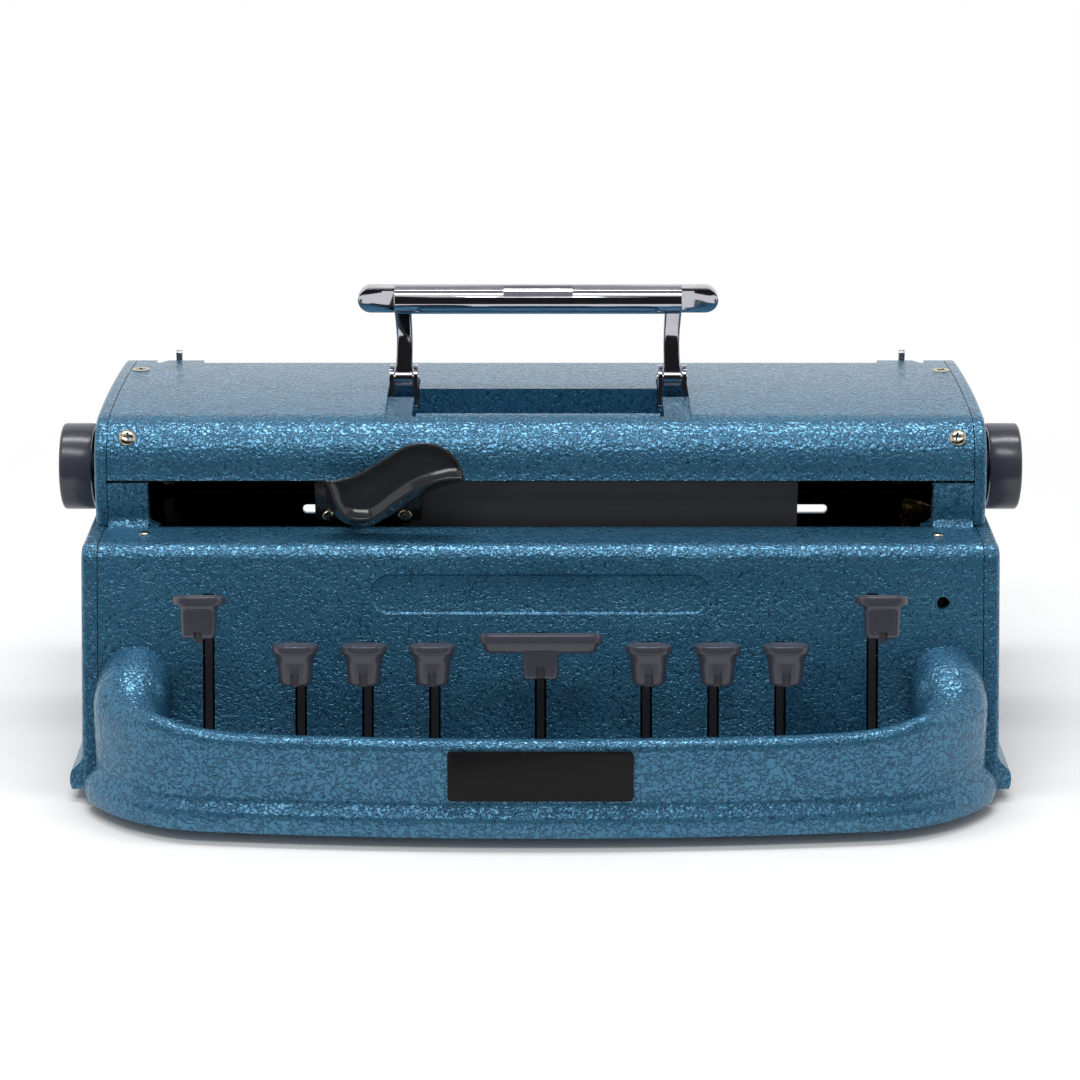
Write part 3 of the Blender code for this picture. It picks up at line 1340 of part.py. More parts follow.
def bell_hammer():
    """A ball on an arm that strikes the bell's rim; its own stub shaft runs in the side plate."""
    axis = (HAMMER_Y, HAMMER_Z)
    hinge = pivot("pivot_bell_hammer", (HAMMER_X, *axis))
    half = HAMMER_ARM / 2
    shaft = rod("bell_hammer", "X", axis, STUD_R, HAMMER_X - half, seat_end(HAMMER_Z), STEEL, sides=16)
    low, high = HAMMER_X - half + GAP / 2, HAMMER_X + half
    top = HAMMER_Z + HAMMER_LONG
    arm = box("Hammer arm", (low, HAMMER_Y - half, HAMMER_Z), (high, HAMMER_Y + half, top))
    ball = turned(
        "Hammer ball",
        "X",
        (HAMMER_Y, top),
        [(radius, HAMMER_X + along) for radius, along in ball_profile(HAMMER_R)],
        sides=16,
    )
    join(shaft, arm, ball)
    hang(shaft, hinge)


def ball_profile(radius):
    steps = 8
    angles = [math.pi * i / steps for i in range(steps + 1)]
    found = [(radius * math.sin(angle), radius * math.cos(angle)) for angle in angles]
    return [(0, radius)] + found[1:-1] + [(0, -radius)]


# Handle


def handle():
    hinge = pivot("pivot_handle", (HANDLE_X, HANDLE_PIVOT_Y, HANDLE_PIVOT_Z))
    nose = LOBE_R * 0.55
    profile = [(0, GRIP_HALF)]
    for angle in (25, 50, 75):
        a = math.radians(angle)
        profile.append((LOBE_R * math.sin(a), GRIP_HALF - nose * (1 - math.cos(a))))
    profile += [
        (LOBE_R, GRIP_HALF - nose),
        (LOBE_R, GRIP_HALF - LOBE_LONG * 0.6),
        (GRIP_R, GRIP_HALF - LOBE_LONG),
    ]
    profile += [(radius, -along) for radius, along in reversed(profile)]
    bar = turned("handle", "X", (HANDLE_PIVOT_Y, HANDLE_BAR_Z), profile, CHROME, sides=24)
    bake(bar)
    bar.data.transform(Matrix.Translation((HANDLE_X, 0, 0)))
    for side in (-1, 1):
        middle = HANDLE_X + side * ARM_X
        low, high = middle - ARM_WIDE / 2, middle + ARM_WIDE / 2
        half = ARM_DEEP / 2
        pin = (HANDLE_PIVOT_Y, HANDLE_PIVOT_Z)
        arm = box("Handle arm", (low, pin[0] - half, pin[1]), (high, pin[0] + half, HANDLE_BAR_Z))
        foot = rod("Arm foot", "X", pin, half, low + GAP, high - GAP, sides=20)
        join(bar, arm, foot)
        ends = (low - OVERRUN, high + OVERRUN)
        cut(bar, rod("Pin bore", "X", pin, PIN_R + RUNNING, *ends, sides=16))
    hang(bar, hinge)


def handle_brackets():
    for side, name in ((-1, "left"), (1, "right")):
        middle = HANDLE_X + side * ARM_X
        inside = ARM_WIDE / 2 + GAP
        outside = inside + EAR_THICK
        low = POCKET_FLOOR_Z + GAP
        half = EAR_DEEP / 2
        foot = box(
            "handle_bracket_" + name,
            (middle - outside, HANDLE_PIVOT_Y - half, low),
            (middle + outside, HANDLE_PIVOT_Y + half, low + EAR_FOOT),
            CHROME,
        )
        ear = [(HANDLE_PIVOT_Y - half, low + GAP), (HANDLE_PIVOT_Y + half, low + GAP)]
        ear += arc((HANDLE_PIVOT_Y, HANDLE_PIVOT_Z), EAR_HIGH, 0, 180, 10)
        hole = circle((HANDLE_PIVOT_Y, HANDLE_PIVOT_Z), PIN_R + GAP, 16)
        for a, b in ((-outside, -inside), (inside, outside)):
            join(foot, plate("Ear", "YZ", [ear, hole], middle + a, middle + b))
        rod(
            "handle_pin_" + name,
            "X",
            (HANDLE_PIVOT_Y, HANDLE_PIVOT_Z),
            PIN_R,
            middle - outside - GAP,
            middle + outside + GAP,
            STEEL,
            sides=16,
        )


def build():
    front_casting()
    label_plate()
    side_plate(-1)
    side_plate(1)
    top_hood()
    rear_cover()
    reading_rest()
    base_pan()
    feet()
    keys()
    cross_bar("key_shaft", PIVOT_Y, PIVOT_Z, KEY_SHAFT_R, STEEL)
    lever_comb()
    return_springs()
    paper_feed()
    release()
    cross_bar("carriage_rail_upper", RAIL_Y, RAIL_HIGH_Z, RAIL_R, STEEL)
    cross_bar("carriage_rail_lower", RAIL_Y, RAIL_LOW_Z, RAIL_R, STEEL)
    rack_bar()
    shield_plate()
    carriage()
    margin_stops()
    mainspring()
    bell()
    bell_hammer()
    handle()
    handle_brackets()


build()
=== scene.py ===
# %% [markdown]
# # A braille typewriter in hammered blue enamel
# The construction is already modelled: pieces, sizes and joints come from the frame. This lesson
# dresses it. Each step says what a piece is on the real machine, how it could be made in Blender,
# and why one way was chosen.

import json
import math

import bmesh
import bpy
from mathutils.geometry import delaunay_2d_cdt
from mathutils import Matrix, Vector


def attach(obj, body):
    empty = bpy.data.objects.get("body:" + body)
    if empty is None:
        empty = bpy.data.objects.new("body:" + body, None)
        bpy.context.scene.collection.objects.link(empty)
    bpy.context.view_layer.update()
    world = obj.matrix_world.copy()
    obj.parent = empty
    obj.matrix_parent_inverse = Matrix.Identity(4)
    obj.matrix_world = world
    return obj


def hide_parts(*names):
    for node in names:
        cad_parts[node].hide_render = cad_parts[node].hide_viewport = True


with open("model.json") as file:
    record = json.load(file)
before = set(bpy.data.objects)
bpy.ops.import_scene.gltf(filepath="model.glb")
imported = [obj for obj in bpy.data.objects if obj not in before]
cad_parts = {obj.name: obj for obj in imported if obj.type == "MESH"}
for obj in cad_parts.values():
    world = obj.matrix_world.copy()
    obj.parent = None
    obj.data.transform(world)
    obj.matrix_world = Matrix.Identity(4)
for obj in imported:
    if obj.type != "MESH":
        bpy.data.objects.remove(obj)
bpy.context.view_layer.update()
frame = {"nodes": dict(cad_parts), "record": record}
nodes = frame["nodes"]

# %% [markdown]
# ## Small helpers
# Sizes are written in real millimetres and turned to metres once. Colours are written as the hex
# values a colour picker shows, and one function turns them to the linear values Blender works in.

# %% Units, colours, nodes and objects
MM = 0.001


def mm(*values):
    """Several lengths at once, from millimetres to metres."""
    return tuple(value * MM for value in values)


def linear(hex_colour):
    channels = [int(hex_colour[i : i + 2], 16) / 255 for i in (1, 3, 5)]
    bright = [c / 12.92 if c <= 0.04045 else ((c + 0.055) / 1.055) ** 2.4 for c in channels]
    return (*bright, 1.0)


def add_node(tree, kind, links=None, **settings):
    """Adds one node. Settings are its properties, and links feed its sockets."""
    node = tree.nodes.new(kind)
    for name, value in settings.items():
        setattr(node, name, value)
    for socket, source in (links or {}).items():
        if isinstance(source, bpy.types.NodeSocket):
            tree.links.new(source, node.inputs[socket])
        else:
            node.inputs[socket].default_value = source
    return node


def new_object(name, data):
    made = bpy.data.objects.new(name, data)
    bpy.context.scene.collection.objects.link(made)
    return made


def new_material(name, colour, roughness, metallic=0.0, **sockets):
    """A Principled material with its plain values set. Patterns are linked to it afterwards."""
    material = bpy.data.materials.new(name)
    material.use_nodes = True
    shader = material.node_tree.nodes["Principled BSDF"]
    shader.inputs["Base Color"].default_value = linear(colour)
    shader.inputs["Roughness"].default_value = roughness
    shader.inputs["Metallic"].default_value = metallic
    for socket, value in sockets.items():
        shader.inputs[socket.replace("_", " ")].default_value = value
    return material, material.node_tree, shader


def here(tree):
    """The place on the object, so that a pattern stays on its piece when it moves."""
    return add_node(tree, "ShaderNodeTexCoord").outputs["Object"]


def noise(tree, where, scale, detail, distortion=0.0):
    links = {"Vector": where, "Scale": scale, "Detail": detail, "Distortion": distortion}
    return add_node(tree, "ShaderNodeTexNoise", links).outputs["Fac"]


def arithmetic(tree, operation, *values):
    return add_node(tree, "ShaderNodeMath", dict(enumerate(values)), operation=operation).outputs[0]


def spread(tree, value, low, high, to=(0.0, 1.0), kind="LINEAR"):
    """Turns one range of values into another."""
    links = {"Value": value, "From Min": low, "From Max": high, "To Min": to[0], "To Max": to[1]}
    return add_node(tree, "ShaderNodeMapRange", links, interpolation_type=kind).outputs["Result"]


def colour_mix(tree, factor, low, high):
    links = {"Factor": factor, "A": low, "B": high}
    return add_node(tree, "ShaderNodeMix", links, data_type="RGBA").outputs["Result"]


def bump_into(tree, shader, height, strength, depth_mm, sockets=("Normal",)):
    links = {"Height": height, "Strength": strength, "Distance": depth_mm * MM}
    bump = add_node(tree, "ShaderNodeBump", links)
    for socket in sockets:
        tree.links.new(bump.outputs["Normal"], shader.inputs[socket])


# %% [markdown]
# ## Hammered enamel
# The housing is an aluminium casting under hammer-finish enamel. The paint holds leafing aluminium
# flakes, and as it dries it pulls up into flat lumps parted by short curled furrows, under a glassy
# skin. To the eye: deep blue, with glints wherever a lump's edge faces a lamp, and pale and nearly
# flat where it mirrors the table. Noise gives both: its middle level runs in curled lines, which
# become the furrows, and a second noise swells the lumps between them. A Voronoi pattern would
# give straight-sided cells, which read as crazy paving.

# %% Hammered blue enamel
LUMP_MM, SWELL_MM, RELIEF_MM = 2.3, 1.5, 0.135
FURROW_SHARE, SWELL_SHARE = 0.07, 3.2
SOFT_STEP = "SMOOTHSTEP"


def hammered_enamel():
    material, tree, shader = new_material(
        "hammered_blue_enamel", "#2a678a", 0.24, 0.5, Coat_Weight=0.25, Coat_Roughness=0.06
    )
    where = here(tree)
    worms = noise(tree, where, 1 / (LUMP_MM * MM), 2.2, 0.2)
    away = arithmetic(tree, "ABSOLUTE", arithmetic(tree, "SUBTRACT", worms, 0.5))
    flat = spread(tree, away, 0.0, FURROW_SHARE, kind=SOFT_STEP)
    swell = noise(tree, where, 1 / (SWELL_MM * MM), 0.6)
    high = arithmetic(tree, "MULTIPLY_ADD", swell, SWELL_SHARE, flat)
    bump_into(tree, shader, high, 1.0, RELIEF_MM, ("Normal", "Coat Normal"))
    # The lumps take a blue that varies at random; the furrows a darker blue, partly the paint's own tone
    # there and partly painted shade in the furrows.
    lump_blue = colour_mix(tree, noise(tree, where, 60.0, 2.0), linear("#306a8c"), linear("#437f9e"))
    paint = colour_mix(tree, flat, linear("#1f4f6c"), lump_blue)
    tree.links.new(paint, shader.inputs["Base Color"])
    return material


ENAMEL = hammered_enamel()
print("lumps every", LUMP_MM, "mm")

# %% [markdown]
# ## Moulded plastics, metals and rubber
# Each gets its own fine texture: a faint orange peel on moulded plastic, drawn lines along steel
# bars, a soft mottle on zinc plate. The scale of each is a real one.

# %% Fine surface textures


def textured(name, low, high, rough, metallic, size_mm, depth_mm, stretch=(1, 1, 1), **sockets):
    """A finish with noise of a real size as a fine bump, and roughness and colour that follow it.
    Stretch makes the noise run as lines along an axis."""
    material, tree, shader = new_material(name, low, rough[0], metallic, **sockets)
    turn = add_node(tree, "ShaderNodeMapping", {"Vector": here(tree), "Scale": stretch})
    grain = noise(tree, turn.outputs["Vector"], 1 / (size_mm * MM), 2.0)
    bump_into(tree, shader, grain, 0.5, depth_mm)
    matt = spread(tree, grain, 0.35, 0.65, rough)
    tree.links.new(matt, shader.inputs["Roughness"])
    mix = colour_mix(tree, grain, linear(low), linear(high))
    tree.links.new(mix, shader.inputs["Base Color"])
    return material


ALONG_X = (0.03, 1, 1)
FINISHES = {
    "grey_abs": textured("moulded_grey_abs", "#3c3c46", "#42424d", (0.2, 0.26), 0.0, 1.2, 0.003),
    "black_phenolic": textured("moulded_dark_phenolic", "#26272c", "#2b2c32", (0.1, 0.15), 0.0, 3.0, 0.004),
    "chrome": textured("chrome_plate", "#b4b3bb", "#c0bfc6", (0.04, 0.09), 1.0, 6.0, 0.015),
    "drawn_steel": textured(
        "drawn_bright_steel", "#9b9a96", "#b5b4b0", (0.2, 0.32), 1.0, 0.35, 0.01, ALONG_X
    ),
    "zinc": textured("zinc_plated_steel", "#8f9092", "#a9abad", (0.32, 0.48), 1.0, 1.6, 0.02),
    "lever_steel": textured("dark_plated_spring_steel", "#2e2d34", "#3a3840", (0.3, 0.45), 0.3, 0.8, 0.015),
    # Painted shade: a near-black steel for bright steel parts that sit in the dark inside.
    "steel_dark_as_shade": textured("blued_ground_steel", "#1a1a1c", "#242427", (0.1, 0.2), 0.9, 0.6, 0.01, ALONG_X),
    "bracket_steel": textured("darkened_bracket_steel", "#4c4844", "#5d5852", (0.2, 0.34), 0.9, 0.9, 0.015),
    "black_oxide": textured("black_oxide_steel", "#141414", "#1e1e1f", (0.4, 0.55), 0.7, 0.9, 0.02),
    "shield_paint": textured("dark_grey_baked_paint", "#3a3a3e", "#444448", (0.5, 0.62), 0.0, 0.6, 0.03),
    "rubber": textured("black_nitrile_rubber", "#161617", "#202021", (0.7, 0.85), 0.0, 0.7, 0.04),
    "brass": textured("turned_brass", "#a8803c", "#c29a52", (0.22, 0.36), 1.0, 0.8, 0.01),
    "nickel": textured("nickel_plated_screw", "#b9ae97", "#d2c8b2", (0.14, 0.26), 1.0, 0.7, 0.01),
    "label_print": textured(
        "printed_black_label", "#111113", "#161618", (0.3, 0.36), 0.0, 0.3, 0.004, Specular_IOR_Level=0.15
    ),
    # Painted shade: dull black for the housing's inside faces, where no light reaches.
    "painted_inside_shade": textured("blackened_inside", "#08090a", "#101113", (0.5, 0.7), 0.2, 1.5, 0.02),
}
print(len(FINISHES) + 1, "finishes")

# %% [markdown]
# ## From a form to a finished piece
# A piece is made in a bmesh or a curve, gets its edges rounded by a Bevel limited to sharp angles,
# is smoothed, and then rides on its body. Everything is applied to the mesh, so that the piece's
# object sits at the origin, unturned and unscaled.

# %% Mesh helpers
LAY = {
    "YZ": Matrix(((0, 0, 1, 0), (1, 0, 0, 0), (0, 1, 0, 0), (0, 0, 0, 1))),
    "XZ": Matrix(((1, 0, 0, 0), (0, 0, -1, 0), (0, 1, 0, 0), (0, 0, 0, 1))),
    "XY": Matrix.Identity(4),
}
ACROSS = {"YZ": 1, "XZ": -1, "XY": 1}
SHARP_ANGLE = math.radians(40)


def to_object(name, bm):
    mesh = bpy.data.meshes.new(name)
    bm.to_mesh(mesh)
    bm.free()
    return new_object(name, mesh)


def applied(obj):
    """The evaluated mesh takes the place of the object's own, in world space."""
    bpy.context.view_layer.update()
    graph = bpy.context.evaluated_depsgraph_get()
    mesh = bpy.data.meshes.new_from_object(obj.evaluated_get(graph))
    mesh.transform(obj.matrix_world)
    name = obj.name
    bpy.data.objects.remove(obj, do_unlink=True)
    return new_object(name, mesh)


def boolean(obj, other, operation):
    step = obj.modifiers.new("Boolean", "BOOLEAN")
    step.operation = operation
    step.object = other
    step.solver = "EXACT"
    made = applied(obj)
    bpy.data.objects.remove(other, do_unlink=True)
    return made


def cut(obj, *others):
    for other in others:
        obj = boolean(obj, other, "DIFFERENCE")
    return obj


def join(obj, *others):
    for other in others:
        obj = boolean(obj, other, "UNION")
    return obj


def slab(name, plane, outlines, low, high):
    """Flat outlines, the further ones holes, made thick from low to high across their plane."""
    curve = bpy.data.curves.new(name, "CURVE")
    curve.dimensions = "2D"
    curve.fill_mode = "BOTH"
    curve.extrude = (high - low) / 2
    for outline in outlines:
        spline = curve.splines.new("POLY")
        spline.points.add(len(outline) - 1)
        for point, (u, v) in zip(spline.points, outline):
            point.co = (u, v, 0, 1)
        spline.use_cyclic_u = True
    flat = new_object(name, curve)
    middle = (low + high) / 2
    flat.matrix_world = LAY[plane] @ Matrix.Translation((0, 0, middle * ACROSS[plane]))
    made = applied(flat)
    bpy.data.curves.remove(curve)
    bm = bmesh.new()
    bm.from_mesh(made.data)
    bmesh.ops.remove_doubles(bm, verts=bm.verts, dist=1e-6)
    bmesh.ops.dissolve_limit(bm, angle_limit=math.radians(0.5), verts=bm.verts, edges=bm.edges)
    bmesh.ops.recalc_face_normals(bm, faces=bm.faces)
    bm.to_mesh(made.data)
    bm.free()
    return made


def block(name, low, high):
    bm = bmesh.new()
    bmesh.ops.create_cube(bm, size=1)
    size = [b - a for a, b in zip(low, high)]
    middle = [(a + b) / 2 for a, b in zip(low, high)]
    bm.transform(Matrix.Translation(middle) @ Matrix.Diagonal((*size, 1)))
    return to_object(name, bm)


def loft(name, rings):
    """A skin over closed rings of equal length, shut at both ends."""
    bm = bmesh.new()
    made = [[bm.verts.new(point) for point in ring] for ring in rings]
    for ring, after in zip(made, made[1:]):
        for i in range(len(ring)):
            j = (i + 1) % len(ring)
            bm.faces.new((ring[i], ring[j], after[j], after[i]))
    bm.faces.new(list(reversed(made[0])))
    bm.faces.new(made[-1])
    bmesh.ops.recalc_face_normals(bm, faces=bm.faces)
    return to_object(name, bm)


def turned(name, axis, centre, profile, sides):
    """A lathe-turned form: profile gives radius and place along the axis."""
    along = {"X": 0, "Y": 1, "Z": 2}[axis]
    others = [i for i in range(3) if i != along]
    rings = []
    for radius, place in profile:
        ring = []
        for i in range(sides):
            angle = 2 * math.pi * i / sides
            point = [0.0, 0.0, 0.0]
            point[along] = place
            point[others[0]] = centre[0] + max(radius, 1e-5) * math.cos(angle)
            point[others[1]] = centre[1] + max(radius, 1e-5) * math.sin(angle)
            ring.append(point)
        rings.append(ring)
    return loft(name, rings)


def rod(name, axis, centre, radius, ends, sides):
    """A plain round bar, also used to bore a hole."""
    return turned(name, axis, centre, [(radius, end) for end in ends], sides)


def arc(centre, radius, start, end, steps):
    found = []
    for i in range(steps + 1):
        angle = math.radians(start + (end - start) * i / steps)
        found.append((centre[0] + radius * math.cos(angle), centre[1] + radius * math.sin(angle)))
    return found


def read_off(table, value):
    """The value that a table of points gives, drawn straight between them."""
    for (a, low), (b, high) in zip(table, table[1:]):
        if value <= b:
            return low + (high - low) * (value - a) / (b - a)
    return table[-1][1]


def ease(share):
    share = min(max(share, 0.0), 1.0)
    return share * share * (3 - 2 * share)


def rounded_box(low, high, radius, steps):
    (x0, y0), (x1, y1) = low, high
    return (
        arc((x1 - radius, y0 + radius), radius, -90, 0, steps)
        + arc((x1 - radius, y1 - radius), radius, 0, 90, steps)
        + arc((x0 + radius, y1 - radius), radius, 90, 180, steps)
        + arc((x0 + radius, y0 + radius), radius, 180, 270, steps)
    )


def soften(obj, width_mm, segments, angle=32):
    bevel = obj.modifiers.new("Rounded edges", "BEVEL")
    bevel.width = width_mm * MM
    bevel.segments = segments
    bevel.limit_method = "ANGLE"
    bevel.angle_limit = math.radians(angle)
    bevel.use_clamp_overlap = True
    return applied(obj)


def place(obj, finish, body, slot, replaced=()):
    """Gives a finished form its material and body, and hides the nodes that it stands for."""
    obj.data.materials.clear()
    obj.data.materials.append(finish)
    obj.data.shade_smooth()
    obj.data.set_sharp_from_angle(angle=SHARP_ANGLE)
    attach(obj, body)
    if replaced:
        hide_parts(*replaced)
    return obj


def enamelled(obj, node, inside):
    """A frame piece in hammered enamel, with its inner faces painted dull black as shade."""
    place(obj, ENAMEL, "frame", "hammertone_blue", [node])
    paint_inside_shade(obj, inside)
    return obj


def paint_inside_shade(obj, test):
    """Paints the faces that the test picks, by centre and normal, dull black: painted shade for an unlit
    inside.
    """
    obj.data.materials.append(FINISHES["painted_inside_shade"])
    for face in obj.data.polygons:
        if test(face.center, face.normal):
            face.material_index = len(obj.data.materials) - 1


def merged_copy(node):
    """The node's own form as one clean mesh: corners joined and flat faces made whole again."""
    bm = bmesh.new()
    bm.from_mesh(nodes[node].data)
    bmesh.ops.remove_doubles(bm, verts=bm.verts, dist=2e-6)
    bmesh.ops.dissolve_limit(bm, angle_limit=math.radians(1), verts=bm.verts, edges=bm.edges)
    return to_object(node + "_finished", bm)


print("mesh helpers ready")

# %% [markdown]
# ## The housing's curves
# The housing is three kinds of metal: a front casting, two cast side plates, and bent sheet for
# the hood, the reading rest and the rear cover. Each sheet is one path in the side view with a
# thickness, so the curves are written once and shared by the pieces that meet there. Most sizes are
# the construction's own, with arcs drawn much finer. The horns' crest, the top of the rest and the
# handle's radii were read off the photograph again.

# %% Side profile of the housing
GAP = 0.3 * MM
SHEET, WALL = mm(2.2, 3.0)
HOOD_HALF, CASTING_HALF = mm(172.5, 173.8)
PLATE_UPPER, PLATE_LOWER = mm(177.7, 180.5)
SHELF_Z, SILL_Y, SHELF_FRONT_Y, SHOULDER_R = mm(98.0, -16.0, -36.5, 7.0)
PANEL_LEAN = math.radians(16.7)
BASE_LOW, SKIRT_TOP, FLARE, BEAD = mm(5.0, 18.0, 5.0, 8.5)
COVE_R, FLOOR_Z = mm(12.0, 14.0)
LIP_Z, HOOD_R, HOOD_TOP, HOOD_CROWN = mm(117.0, 19.0, 139.2, 0.6)
HOOD_REAR_Y, HOOD_REAR_Z, WING = mm(88.0, 136.8, 6.0)
REAR_Y, REAR_TOP, REST_FRONT_Y, REST_TOP, REST_R = mm(111.0, 112.0, 103.0, 131.9, 7.5)
HALF_DEPTH = 115.0 * MM


def panel_y(z):
    """The sloping panel's face at height z."""
    top = SHELF_Z - SHOULDER_R + SHOULDER_R * math.sin(PANEL_LEAN)
    return SHELF_FRONT_Y - SHOULDER_R * math.cos(PANEL_LEAN) - math.tan(PANEL_LEAN) * (top - z)


def shoulder_arc():
    return arc((SHELF_FRONT_Y, SHELF_Z - SHOULDER_R), SHOULDER_R, 90, 180 - math.degrees(PANEL_LEAN), 20)


def shelf_curve(edge=0.0):
    """From under the window sill over the shelf and its shoulder to the foot of the panel."""
    sill = arc((SILL_Y - edge, SHELF_Z - edge), edge, 0, 90, 5) if edge else [(SILL_Y, SHELF_Z)]
    return [(SILL_Y, SHELF_Z - 6 * MM)] + sill + shoulder_arc() + [(panel_y(BASE_LOW), BASE_LOW)]


def cove_curve():
    low = FLOOR_Z + COVE_R
    touch = low - COVE_R * math.sin(PANEL_LEAN)
    middle = panel_y(touch) - COVE_R * math.cos(PANEL_LEAN)
    above = touch + COVE_R / 2
    cove = arc((middle, low), COVE_R, -math.degrees(PANEL_LEAN), -90, 20)
    return [(panel_y(above) + MM, above)] + cove + [(middle - MM, FLOOR_Z)]


def hood_curve():
    """Up from the lip, round the front corner and back over a slight crown."""
    centre = (SILL_Y + 1.5 * MM + HOOD_R, HOOD_TOP - HOOD_R)
    start, end = (SILL_Y, LIP_Z), (HOOD_REAR_Y + WING, HOOD_REAR_Z)
    corner = arc(centre, HOOD_R, 180, 90, 30)
    top = [corner[-1], ((centre[0] + HOOD_REAR_Y) / 2, HOOD_TOP + HOOD_CROWN), end]
    found = [start] + corner
    for i in range(1, 13):
        t = i / 12
        mix = [(1 - t) ** 2, 2 * t * (1 - t), t * t]
        middle = [2 * top[1][k] - (top[0][k] + top[2][k]) / 2 for k in (0, 1)]
        found.append(tuple(mix[0] * top[0][k] + mix[1] * middle[k] + mix[2] * top[2][k] for k in (0, 1)))
    return found


def rest_curve():
    centre = (REAR_Y - REST_R, REST_TOP - REST_R)
    return [(REST_FRONT_Y, REST_TOP)] + arc(centre, REST_R, 90, 0, 16) + [(REAR_Y, REAR_TOP + GAP)]


def rear_curve():
    tip = HALF_DEPTH
    flare = [(tip - GAP, BASE_LOW), (tip, BASE_LOW + BEAD * 0.35), (tip - GAP, BASE_LOW + BEAD * 0.75)]
    return flare + [(REAR_Y + FLARE / 3, SKIRT_TOP - FLARE * 0.8), (REAR_Y, SKIRT_TOP), (REAR_Y, REAR_TOP)]


def strip(path, thickness, side, shown=None):
    """A sheet's closed outline: the path, and the same path moved to its left (1) or right (-1).
    Shown is the path with its outer corners rounded, where they are."""
    moved = []
    for i, (y, z) in enumerate(path):
        before = path[max(i - 1, 0)]
        after = path[min(i + 1, len(path) - 1)]
        sides = []
        for a, b in ((before, (y, z)), ((y, z), after)):
            long = math.dist(a, b)
            if long > 0:
                sides.append((-(b[1] - a[1]) / long, (b[0] - a[0]) / long))
        normal = [sum(s[k] for s in sides) / len(sides) for k in (0, 1)]
        square = normal[0] ** 2 + normal[1] ** 2
        moved.append(tuple(p + side * thickness * n / square for p, n in zip((y, z), normal)))
    return list(shown or path) + moved[::-1]


print("panel leans", round(math.degrees(PANEL_LEAN), 1), "degrees; hood is", 2 * HOOD_HALF / MM, "mm wide")

# %% [markdown]
# ## Guard wall
# A cast wall runs round the front of the keys, so that the machine can be lifted and set down
# without pressing one. At each side it swells to a rounded horn against the panel, and it falls
# to a thin rim in front. One section is swept along the plan curve while its height and
# thickness change, which a loft of many sections gives and a plain extrusion can't.

# %% Guard wall
HORN_TOP, HORN_THICK = mm(60.5, 29.0)
GUARD_THICK, HORN_FAN = 8.5 * MM, 0.0424
TURNS = ((15.0 * MM, math.radians(38), 16), (61.4 * MM, math.radians(46), 30))
CREST = (
    (-18, 60.5), (-12, 60.3), (-6, 59.3), (0, 57.2), (5, 54.8), (10, 52.6), (17, 50.6), (23, 49.4),
    (30, 48.5), (36, 47.8), (43, 46.6), (49, 45.2), (56, 44.0), (70, 42.6), (91, 42.2), (400, 42.1),
)


def crest_height(way):
    """The wall's top at a distance along it, from the horn by the panel to the low rim in front."""
    return read_off(CREST, way / MM) * MM


def wall_thickness(x, heading):
    """The inner side runs straight along the horn, then turns and follows the front."""
    straight = (HORN_THICK - CASTING_HALF - x) / max(math.cos(heading), 0.05)
    soft = 3 * MM
    near = max(soft - abs(straight - GUARD_THICK), 0) / soft
    return min(max(straight, GUARD_THICK) + near * near * soft / 4, HORN_THICK)


def guard_way():
    """Points along the left half of the wall: place, the way its section points, length so far."""
    turn = sum(sweep for _, sweep, _ in TURNS)
    (r1, t1, _), (r2, _, _) = TURNS
    across = r1 * (1 - math.cos(t1)) + r2 * (math.cos(t1) - math.cos(turn))
    bow = (CASTING_HALF - across) / math.cos(turn)
    ahead = r1 * math.sin(t1) + r2 * (math.sin(turn) - math.sin(t1)) + bow * (1 - math.sin(turn))
    x, y = -CASTING_HALF, -(HALF_DEPTH - FLARE) + ahead
    found = [(x, y, 0.0, 0.0)]
    way = heading = 0.0
    for radius, sweep, steps in (*TURNS, (bow, math.pi / 2 - turn, 24)):
        for _ in range(steps):
            after = heading + sweep / steps
            x += radius * (math.cos(heading) - math.cos(after))
            y -= radius * (math.sin(after) - math.sin(heading))
            way += radius * sweep / steps
            heading = after
            found.append((x, y, min(heading, way / HORN_FAN), way))
    return found


def skirt_profile(flare):
    """The bead at the foot and the hollow curve up to the wall, as distance in and height."""
    foot = [(-flare * 0.86, BASE_LOW)] + [
        (-flare * (0.93 + 0.07 * math.sin(math.pi * i / 8)), BASE_LOW + BEAD * (0.12 + 0.66 * i / 8))
        for i in range(9)
    ]
    hollow = []
    start = (-flare * 0.86, BASE_LOW + BEAD * 0.9)
    for i in range(1, 11):
        t = i / 10
        hollow.append((start[0] * (1 - ease(t) ** 0.7), start[1] + (SKIRT_TOP - start[1]) * t))
    return foot + [start] + hollow


def guard_section(thick, top, flare):
    crest = min(thick / 2, HORN_THICK / 2)
    low = top - crest
    over = []
    for i in range(33):
        angle = math.pi * (1 - i / 32)
        over.append((thick / 2 * (1 + math.cos(angle)), low + (top - low) * math.sin(angle)))
    rise = [(0.0, SKIRT_TOP + (low - SKIRT_TOP) * share) for share in (0.25, 0.5, 0.75)]
    return skirt_profile(flare) + rise + over + [(thick, SKIRT_TOP), (thick, BASE_LOW)]


